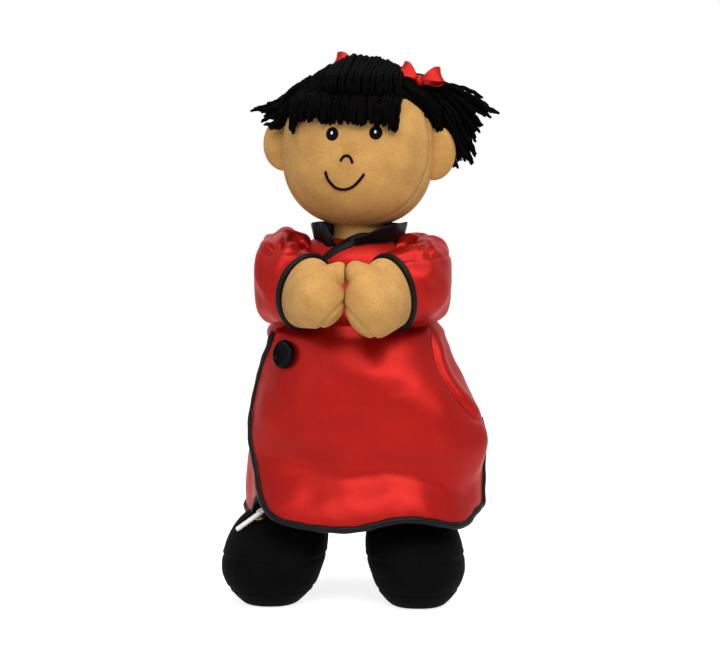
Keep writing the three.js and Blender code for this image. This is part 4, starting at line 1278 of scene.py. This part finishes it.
tape_rows = []
for i, centre in enumerate(tape_line):
    along = (tape_line[min(i + 1, TAPE_STEPS)] - tape_line[max(i - 1, 0)]).normalized()
    square = Vector((-along.z, 0, along.x))
    row = []
    for k in range(7):
        side = k / 3 - 1
        spot = centre + square * (TAPE_HALF_WIDTH * side)
        row.append(on_bodice(spot.x, min(spot.z, TORSO_TOP + 1.8), 2.0 + 1.2 * (1 - side**2)))
        row[-1].z = spot.z
    tape_rows.append(row)
tape = make("wrap_edge_binding", loft(tape_rows, closed=False), black_satin, TAPE_THICKNESS, levels=1)
wear(tape, "body", "black_satin", "neckline_binding")

# Back of the skirt: lined red satin hung from the waist seam, with an underlap that runs behind the flap
# on the doll's right. Its hem is bound with a rolled black binding.
HEM_HALF_WIDTH = 85.5
HEM_HALF_DEPTH = 66
HEM_SHIFT = 9
WAIST_SHIFT = 2.4
SLIT_CORNER_FLARE = 2
HEM_Z = 67
HEM_WAVE = 3.6
HEM_WAVES = {"left": 6.4, "right": 3.4}
HEM_DIP = math.radians(-7)
FLAP_EDGE = math.radians(-75)
FLAP_SEAM = math.radians(84)
SKIRT_START = FLAP_SEAM - 0.05
UNDERLAP_EDGE = math.radians(318)
UNDERLAP_RISE = 0.12
UNDERLAP_RISES_FROM = math.radians(278)
UNDERLAP_INSET = 2
UNDERLAP_EDGE_INSET = 9
SLIT_INSET = 9  # the back's front edge lies behind the flap's slit edge
SLIT_RISE = 0.1
SIDE_FLARE = 4.5
SIDE_INSET = 4.5  # the back keeps inside the flap's free edge, down to where the underlap shows
WAIST_OVERLAP = 0.06  # the skirt's top laps over the bodice this far above the seam
WAIST_TAPER = 110
SIDE_FLARE_END = 0.62  # the sides reach their full width this far down
BINDING_RADIUS = 2.7
BROAD_SWELL = (30, 1.6)
SMALL_SWELL = (13, 0.5)
CLOTH_ROUND = 85  # millimetres of cloth in one radian and from waist to hem
CLOTH_DOWN = 131
LEFT_LEAN = 9  # the flap stands out more on the doll's left, down to the middle
BACK_FOLDS = 7
BACK_FOLD_DEPTH = 3.2
BELLY = 2.5  # the front swells below the waist, runs in, and kicks out to the hem
BELLY_END = 0.75
FRONT_HOLLOW = 9
HEM_KICK = 15
SLIT_CORNER_AT = 1.45
FOLD_ROLL = 2.4  # the side fold: a soft roll beside a sharp crease
FOLD_CREASE = 3.0
SIDE_FOLD = [
    (1.0, -0.03), (0.92, 0.13), (0.91, 0.25), (0.95, 0.36), (1.08, 0.46), (1.26, 0.5), (1.42, 0.51),
]
# Broad swells of the front: turn and drop of the middle, reach round and down, and height.
SWELLS = [
    (0.5, 0.16, 34, 26, 3.5), (-0.15, 0.36, 42, 22, -2.2), (-0.75, 0.3, 26, 30, -2.0),
    (0.1, 0.62, 60, 18, 2.2), (0.85, 0.68, 26, 16, 3.0), (0.35, 0.76, 40, 12, -2.6),
    (-0.55, 0.72, 32, 14, -2.4), (1.05, 0.84, 18, 12, -3.0),
]
side_fold = smooth_line([(t * CLOTH_ROUND, d * CLOTH_DOWN, 0) for t, d in SIDE_FOLD], 25)


def fold_distance(turn, drop):
    """The signed distance from the side fold in millimetres of cloth, and the share along it."""
    spot = Vector((turn * CLOTH_ROUND, drop * CLOTH_DOWN, 0))
    best, way, where = 1e9, 1, 0
    for i, (a, b) in enumerate(zip(side_fold, side_fold[1:])):
        share = min(1, max(0, (spot - a).dot(b - a) / (b - a).length_squared))
        away = spot - mix(a, b, share)
        if away.length < best:
            best = away.length
            way = 1 if (b - a).x * away.y - (b - a).y * away.x > 0 else -1
            where = (i + share) / (len(side_fold) - 1)
    return best * way, where


def skirt_point(turn, drop, inset):
    """A point of the skirt's cloth; turn is from the front to the doll's left, drop from waist to hem."""
    across, ahead = math.sin(turn), math.cos(turn)
    power = BODY_SIDE_SQUARENESS
    square = (abs(across) ** power + abs(ahead) ** power) ** (-1 / power)
    down = max(0, drop)
    spread = math.sin(math.pi / 2 * min(1, down) ** 0.65)
    side_spread = ease(down, 0, SIDE_FLARE_END)
    front = ease(ahead, -0.1, 0.6)
    middle = ease(ahead, 0.3, 0.8)
    folds = BACK_FOLD_DEPTH * down * math.cos(BACK_FOLDS * turn) * (1 - front)
    belly = BELLY * math.sin(math.pi * min(1, down / BELLY_END))
    flare = middle * (belly + HEM_KICK * ease(down, 0.66, 1.0) - FRONT_HOLLOW * ease(down, 0.33, 0.72))
    flare += SLIT_CORNER_FLARE * ease(down, 0.78, 1) * ease(abs(turn - SLIT_CORNER_AT), 0.4, 0.1)
    out = folds + flare - inset + WAIST_TAPER * min(0, drop)
    aside = HEM_SHIFT * side_spread + WAIST_SHIFT * ease(down, 0, 0.1) * ease(down, 0.75, 0.3)
    half_width = mix(WAIST_HALF_WIDTH + 1, HEM_HALF_WIDTH, side_spread) + out
    half_depth = mix(WAIST_HALF_DEPTH, HEM_HALF_DEPTH, spread) + out
    waves = HEM_WAVES["left" if turn > HEM_DIP else "right"]
    hem = HEM_Z - HEM_WAVE * math.cos(waves * (turn - HEM_DIP))
    return Vector(
        (aside + half_width * square * across, -half_depth * square * ahead, mix(WAIST_Z, hem, drop))
    )


def hanging(turn, drop, inset):
    """The skirt's cloth with its soft swells and its side fold."""
    point = skirt_point(turn, drop, inset)
    full = ease(drop, 0.02, 0.25) * (1 - 0.75 * seam(turn - FLAP_EDGE, 1, 0.25))
    swell = cloth_waves(point + Vector((0, 0, 40)), *BROAD_SWELL) + cloth_waves(point, *SMALL_SWELL)
    for middle, level, wide, tall, height in SWELLS:
        round_way = (turn - middle) * CLOTH_ROUND / wide
        down_way = (drop - level) * CLOTH_DOWN / tall
        swell += height * math.exp(-round_way * round_way - down_way * down_way)
    lean = ease(turn, 0.0, 0.7) * ease(turn, 1.5, 1.1)
    swell += LEFT_LEAN * lean * (ease(drop, 0.05, 0.58) * ease(drop, 0.92, 0.6) - 0.35)
    away, where = fold_distance(turn, drop)
    held = ease(where, 1.0, 0.6)
    tuck = held * (seam(away + 9, FOLD_ROLL, 7) - seam(away, FOLD_CREASE, 2.8))
    return skirt_point(turn, drop, inset - full * swell - ease(drop, -0.05, 0.1) * tuck)


def skirt_cloth(turn, drop):
    """The back's cloth, kept behind the flap at the side slit and along the underlap."""
    slit = ease(turn, SKIRT_START + 1.0, SKIRT_START) * ease(drop, 0.4, 0.6)
    rise = UNDERLAP_RISE * ease(turn, UNDERLAP_RISES_FROM, UNDERLAP_EDGE) + SLIT_RISE * slit
    edge_inset = UNDERLAP_EDGE_INSET * mix(1, 0.55, ease(drop, 0.6, 0.95))
    lapped = ease(turn, 1.3 * math.pi, FLAP_EDGE + 2 * math.pi - 0.1)
    near_edge = ease(turn, FLAP_EDGE + 2 * math.pi, UNDERLAP_EDGE - 0.1)
    under = mix(UNDERLAP_INSET * lapped, edge_inset, near_edge)
    behind = SIDE_INSET * ease(turn, 1.25 * math.pi, 1.45 * math.pi) * ease(drop, 0.78, 0.5)
    aside = ease(turn, 1.15 * math.pi, 1.38 * math.pi) * ease(turn, 1.6 * math.pi, 1.5 * math.pi)
    flare = SIDE_FLARE * aside * ease(drop, 0.55, 0.85)
    tuck = max(under, behind) * min(1, 4 * max(0, drop) + 0.15) + SLIT_INSET * slit - flare
    return hanging(turn, drop * (1 - rise), tuck + SATIN / 2)


SKIRT_COLUMNS = 150
SKIRT_ROWS = 40
back_turns = [mix(SKIRT_START, UNDERLAP_EDGE, i / SKIRT_COLUMNS) for i in range(SKIRT_COLUMNS + 1)]
back_drops = [mix(-WAIST_OVERLAP, 1, row / SKIRT_ROWS) for row in range(SKIRT_ROWS + 1)]
back_rows = [[skirt_cloth(turn, drop) for turn in back_turns] for drop in back_drops]
skirt_back = make("satin_skirt_back", loft(back_rows, closed=False), red_satin, SATIN, levels=1)
wear(skirt_back, "body", "red_satin", "gown_skirt")
hem_line = back_rows[-1]
under_edge = [row[-1] for row in back_rows[::-1]]
back_binding_line = smooth_line(hem_line[6::3] + under_edge[3:28:3], 240)


def binding_size(share, angle):
    """A rolled binding with faint puckers."""
    return BINDING_RADIUS * (1 + 0.06 * math.sin(150 * share))


back_binding = make("skirt_hem_binding", tube(back_binding_line, binding_size, sides=12), black_satin)
wear(back_binding, "body", "black_satin", "skirt_binding")

# Flap: the front of the wrap skirt, sewn at the doll's left side and buttoned on its right.
# Its free corner is cut in a wide curve, and the same binding runs round it and up the side slit.
FLAP_CORNER_TURN = math.radians(45)
FLAP_CORNER_DROP = 0.58
SLIT_CORNER_TURN = math.radians(14)
SLIT_CORNER_DROP = 0.02
SLIT_TOP = 0.5
FLAP_TOP_TURN = 0.44  # the top of the free edge stands this far in from the side
FLAP_TOP_END = 0.3
FLAP_LIFT = 0.9
FREE_EDGE_LIFT = 1.6
FLAP_COLUMNS = 160
FLAP_ROWS = 70


def flap_drop(turn):
    """How far down the flap reaches, less at its two rounded corners."""
    near = min(1, max(0, (turn - FLAP_EDGE) / FLAP_CORNER_TURN))
    far = min(1, max(0, (FLAP_SEAM - turn) / SLIT_CORNER_TURN))
    return 1 - FLAP_CORNER_DROP * (1 - near) ** 2.3 - SLIT_CORNER_DROP * (1 - far) ** 2


def flap_cloth(turn, share):
    drop = flap_drop(turn) * share
    near_top = max(0, 1 - max(0, drop) / FLAP_TOP_END) ** 1.2
    inward = FLAP_TOP_TURN * near_top * ease(turn, FLAP_EDGE + 0.9, FLAP_EDGE)
    proud = FREE_EDGE_LIFT * ease(turn, FLAP_EDGE + 0.14, FLAP_EDGE)
    return hanging(turn + inward, drop, -FLAP_LIFT - proud)


flap_turns = [mix(FLAP_EDGE, FLAP_SEAM, (i / FLAP_COLUMNS) ** 1.2) for i in range(FLAP_COLUMNS + 1)]
flap_shares = [mix(-WAIST_OVERLAP, 1, row / FLAP_ROWS) for row in range(FLAP_ROWS + 1)]
flap_rows = [[flap_cloth(turn, share) for turn in flap_turns] for share in flap_shares]
flap = make("satin_flap", loft(flap_rows, closed=False), red_satin, SATIN, levels=1)
wear(flap, None, "red_satin", "gown_flap")
free_edge = [row[0] for row in flap_rows[4:]]
slit_edge = [row[-1] for row in flap_rows[::-1]]
slit_rows = int(FLAP_ROWS * SLIT_TOP)
flap_edge_line = smooth_line(free_edge[::4] + flap_rows[-1][2:-1:3] + slit_edge[1:slit_rows:4], 300)
flap_binding = make("flap_edge_binding", tube(flap_edge_line, binding_size, sides=12), black_satin)
wear(flap_binding, None, "black_satin", "flap_binding")
for piece in (flap, flap_binding):
    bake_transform(piece)

# Button: moulded glossy black plastic with a raised rim and a dished face.
# It is sewn on through the flap near its free edge, and closes the wrap.
BUTTON_TURN = math.radians(-41)
BUTTON_DROP = 0.115
BUTTON_LIFT = 1.6
BUTTON_LEAN = Vector((-0.2, 0, 0))  # it tips towards the doll's right
BUTTON_PROFILE = [
    (0.1, 0), (8.6, 0), (9.8, 0.5), (10.35, 1.4), (10.4, 2.2), (10.2, 3.1), (9.7, 3.75), (9.0, 4.0),
    (8.3, 3.85), (7.7, 3.3), (7.2, 2.75), (6.4, 2.5), (3.5, 2.3), (0.1, 2.25),
]

# Moulded polyester resin: deep black with a hard polished gloss that shows on the rim.
black_plastic = uneven(
    "polished_black_plastic",
    pale="#040404", dark="#020202", grain=4, patch=9, relief=0.03, strength=0.1,
    roughness=0.12, IOR=1.12,
)


def near_button(turn, drop):
    """The outside of the flap beside the button's middle."""
    return hanging(BUTTON_TURN + turn, BUTTON_DROP + drop, -BUTTON_LIFT)


button_across = near_button(0.12, 0) - near_button(-0.12, 0)
button_down = near_button(0, 0.08) - near_button(0, -0.08)
button_out = (button_down.cross(button_across).normalized() + BUTTON_LEAN).normalized()
button_rings = turned(BUTTON_PROFILE, near_button(0, 0) + button_out * 0.6, button_out, sides=64)
button = make("coat_button", loft(button_rings), black_plastic)
wear(button, "flap", "black_plastic", "button")

# Sleeves: puffed red satin, pleated into the armholes, bent forward and gathered towards the cuffs.
# A black binding edges each cuff.
ARMHOLE_X = -31
ARMHOLE_HALF_HEIGHT = 11
BEND_LINE = Vector((-34, -21, 0))  # the cloth bends forward about an upright line beside the chest
ARM_FROM = 0.36  # the share of the arm where the bend ends
SLEEVE_HALF_DEPTH = 21
SLEEVE_HALF_WIDTH = 17.5
SLEEVE_HALF_HEIGHT = 24.5
SLEEVE_REACH = {"right": 61.5, "left": 67}  # beyond this distance from the middle it hangs nearly flat
SLEEVE_GIVE = 7
SLEEVE_GATHER = 2
SLEEVE_SWELL = (17, 2.4)
CREASE_SIZE = 23
CREASE_HEIGHT = 1.6
SLEEVE_TOP = {"right": 0, "left": -3}  # how much higher the puff stands on each side
SLEEVE_SAG = {"right": 6, "left": 10}
SHOULDER_ROWS = 24
SLEEVE_ROWS = 62
SLEEVE_SIDES = 108
CUFF_BINDING_RADIUS = 2.4
PLEATS = 13
PLEAT_DEPTH = 0.9
FAN_DEPTH = 1.5  # the doll's right sleeve fans out from one pleat, its left one has a looped fold
LOOP_FOLD_HEIGHT = 2.2
PLEAT_POINT = Vector((-49, 0, 254))
LOOP_FOLD = [(-52, 0, 254), (-52.5, 0, 260), (-56, 0, 263.5), (-59.5, 0, 260), (-59.5, 0, 255)]
loop_fold = smooth_line(LOOP_FOLD, 24)


def sleeve_section(row):
    """The middle of the sleeve at a row, the directions out and up, and its half sizes."""
    bend_end, _, arm_rise, _ = arm_at(ARM_FROM)
    if row < SHOULDER_ROWS:
        bend = row / SHOULDER_ROWS
        angle = math.pi / 2 * bend
        out = Vector((-math.sin(angle), math.cos(angle), 0))
        reach = mix(SLEEVE_HALF_DEPTH, BEND_LINE.x - bend_end.x, bend)
        centre = BEND_LINE + out * reach
        centre.x += (ARMHOLE_X - BEND_LINE.x) * (1 - bend)
        centre.y += (bend_end.y - BEND_LINE.y) * bend
        centre.z = mix(SHOULDER_Z, bend_end.z, bend)
        up = mix(Vector((0, 0, 1)), arm_rise, bend).normalized()
        half_width = mix(SLEEVE_HALF_DEPTH, SLEEVE_HALF_WIDTH, bend)
        half_height = mix(ARMHOLE_HALF_HEIGHT, SLEEVE_HALF_HEIGHT, min(1, bend / 0.4) ** 0.5)
        return centre, out, up, half_width, half_height
    along = (row - SHOULDER_ROWS) / (SLEEVE_ROWS - SHOULDER_ROWS)
    centre, out, up, _ = arm_at(mix(ARM_FROM, CUFF_AT, along))
    gather = SLEEVE_GATHER * math.sin(math.pi * along)
    centre = centre - out * CUFF_IN * ease(along, 0.3, 1)
    half_width = mix(SLEEVE_HALF_WIDTH, CUFF_HALF[0], ease(along, 0, 1)) + gather
    half_height = mix(SLEEVE_HALF_HEIGHT, CUFF_HALF[1], ease(along, 0, 1)) + gather
    return centre, out, up, half_width, half_height


def sleeve_folds(point, turn, row, side):
    """How far the folds of the satin stand out."""
    bend = row / SHOULDER_ROWS
    along = row / SLEEVE_ROWS
    loose = ease(along, 1.0, 0.82)
    pleats = PLEAT_DEPTH * math.cos(PLEATS * turn) * ease(bend, 1.1, 0.15)
    crush = point + Vector((90 * SIDES[side], 0, 0))
    creases = CREASE_HEIGHT * (0.4 - abs(2 * noise.noise(crush / CREASE_SIZE)))
    swell = cloth_waves(crush, *SLEEVE_SWELL) + creases
    shaped = 0.0
    from_pleat = point - PLEAT_POINT
    if side == "right" and from_pleat.y < 6:
        fan = math.atan2(from_pleat.x, max(0.1, from_pleat.z))
        near = math.hypot(from_pleat.x, from_pleat.z)
        reach = ease(near, 1, 8) * ease(near, 26, 12) * ease(from_pleat.z, -2, 5)
        shaped = FAN_DEPTH * math.cos(7 * fan) * reach
    if side == "left" and from_pleat.y < 6:
        flat = Vector((point.x, 0, point.z))
        shaped = seam(min((flat - spot).length for spot in loop_fold), LOOP_FOLD_HEIGHT, 1.5)
        shaped -= seam(point.z - 253 + 0.06 * (point.x + 50), 1.6, 2.0) * ease(point.y, -8, -20)
    return pleats + swell * loose * ease(bend, 0, 0.7) + shaped


def sleeve_point(row, turn, side):
    """A point of the sleeve, drawn on the doll's right; turn runs from the outer side over the top."""
    centre, out, up, half_width, half_height = sleeve_section(row)
    puffed = ease(row, 2, 12) * ease(row, SLEEVE_ROWS, SHOULDER_ROWS)
    half_height += puffed * mix(SLEEVE_SAG[side], SLEEVE_TOP[side], ease(math.sin(turn), -0.4, 0.4))
    flat = centre + out * math.cos(turn) * half_width + up * math.sin(turn) * half_height
    fold = sleeve_folds(flat, turn, row, side)
    point = centre + out * math.cos(turn) * (half_width + fold) + up * math.sin(turn) * (half_height + fold)
    beyond = -SLEEVE_REACH[side] - point.x
    if beyond > 0:
        point.x = -SLEEVE_REACH[side] - SLEEVE_GIVE * (1 - math.exp(-beyond / SLEEVE_GIVE))
    return point


for side, mirror in SIDES.items():
    rings = [
        [sleeve_point(row, turn, side) for turn in angles(SLEEVE_SIDES)] for row in range(SLEEVE_ROWS + 1)
    ]
    shape = mirrored(loft(rings, capped=False), mirror)
    sleeve = make(f"satin_sleeve_{side}", shape, red_satin, SATIN, levels=1)
    wear(sleeve, None, "red_satin", f"sleeve_{side}")
    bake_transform(sleeve)

    centre, across, rise, _ = arm_at(CUFF_AT)
    cuff_line = []
    for turn in angles(96, True):
        loose = 0.5 * math.sin(3 * turn + mirror)
        wide, tall = CUFF_HALF[0] + loose, CUFF_HALF[1] + loose
        cuff_line.append(centre + across * (wide * math.cos(turn) - CUFF_IN) + rise * tall * math.sin(turn))
    cuff_shape = tube(cuff_line, lambda share, angle: CUFF_BINDING_RADIUS, sides=12, capped=False)
    cuff = make(f"cuff_edge_binding_{side}", mirrored(cuff_shape, mirror), black_satin)
    wear(cuff, f"hand_{side}", "black_satin", f"cuff_binding_{side}")

# Studio: a floor of white paper that keeps the doll's shadow, a white surround,
# and soft light from above and in front. Its lengths are metres, but for the camera's.
FLOOR_HALF = 4.0
PAPER_GLOW = 0.8
SOFT_FILL = 0.15
SENSOR_WIDTH = 36
LENS = 95.9
CAMERA_TURN = math.radians(4)
CAMERA_TILT = math.radians(4.147)
CAMERA_AWAY = 1400
CAMERA_HEIGHT = 300
CAMERA_ASIDE = 4.4
floor_mesh = bpy.data.meshes.new("floor")
floor_points = [(x * FLOOR_HALF, y * FLOOR_HALF, 0) for x, y in ((-1, -1), (1, -1), (1, 1), (-1, 1))]
floor_mesh.from_pydata(floor_points, [], [(0, 1, 2, 3)])
floor = bpy.data.objects.new("floor", floor_mesh)
bpy.context.scene.collection.objects.link(floor)
# Matt white paper: it glows a little to the eye, so that it stays white round the shadow.
paper, paper_shader = finish("white_paper", 0.9, Base_Color=linear("#e8e8e8"))


def seen_directly(material):
    """1 where the camera sees a surface, also in a reflection or through glass."""
    rays = add(material, "ShaderNodeLightPath").outputs
    bounced = {0: rays["Is Glossy Ray"], 1: rays["Is Transmission Ray"]}
    in_mirror = add(material, "ShaderNodeMath", bounced, use_clamp=True).outputs[0]
    either = {0: rays["Is Camera Ray"], 1: in_mirror}
    return add(material, "ShaderNodeMath", either, use_clamp=True).outputs[0]


def shown(material, hidden, seen):
    """The look of a surface that the camera sees otherwise than it lights the doll."""
    looks = {0: seen_directly(material), 1: hidden.outputs[0], 2: seen.outputs[0]}
    return add(material, "ShaderNodeMixShader", looks).outputs[0]


glow = add(paper, "ShaderNodeEmission", {"Strength": PAPER_GLOW})
lit = add(paper, "ShaderNodeAddShader", {0: paper_shader.outputs[0], 1: glow.outputs[0]})
paper_out = paper.node_tree.nodes["Material Output"]
paper.node_tree.links.new(shown(paper, paper_shader, lit), paper_out.inputs["Surface"])
floor_mesh.materials.append(paper)

surround = bpy.data.worlds.new("surround")
surround.use_nodes = True
bpy.context.scene.world = surround
soft_fill = surround.node_tree.nodes["Background"]
soft_fill.inputs["Color"].default_value = (1, 1, 1, 1)
soft_fill.inputs["Strength"].default_value = SOFT_FILL
backdrop = add(surround, "ShaderNodeBackground", {"Color": (1, 1, 1, 1), "Strength": 1.0})
surround_out = surround.node_tree.nodes["World Output"]
surround.node_tree.links.new(shown(surround, soft_fill, backdrop), surround_out.inputs["Surface"])

LAMP_AIM = Vector((0, 0, 0.2))
# Each lamp's place, its size and its power in watts.
LAMPS = {
    "key": ((0.35, -1.3, 1.25), (2.0, 0.8), 28),
    "fill": ((-1.2, -1.2, 0.7), (0.9, 0.9), 3),
    "top": ((0.15, -0.3, 1.75), (1.3, 0.8), 14),
}
for name, (spot, size, power) in LAMPS.items():
    lamp = bpy.data.lights.new(name, "AREA")
    lamp.shape = "RECTANGLE"
    lamp.size, lamp.size_y = size
    lamp.energy = power
    light = bpy.data.objects.new(name, lamp)
    light.location = spot
    light.rotation_euler = (LAMP_AIM - light.location).to_track_quat("-Z", "Y").to_euler()
    bpy.context.scene.collection.objects.link(light)

camera = bpy.data.objects.new("camera", bpy.data.cameras.new("camera"))
camera.data.sensor_width = SENSOR_WIDTH
camera.data.lens = LENS
aside = Vector((math.cos(CAMERA_TURN), math.sin(CAMERA_TURN), 0))
towards = Vector((math.sin(CAMERA_TURN), -math.cos(CAMERA_TURN), 0))
camera.location = placed(aside * CAMERA_ASIDE + towards * CAMERA_AWAY + Vector((0, 0, CAMERA_HEIGHT)))
camera.rotation_euler = (math.pi / 2 - CAMERA_TILT, 0, CAMERA_TURN)
bpy.context.scene.collection.objects.link(camera)
bpy.context.scene.camera = camera
bpy.context.scene.view_settings.view_transform = "Standard"
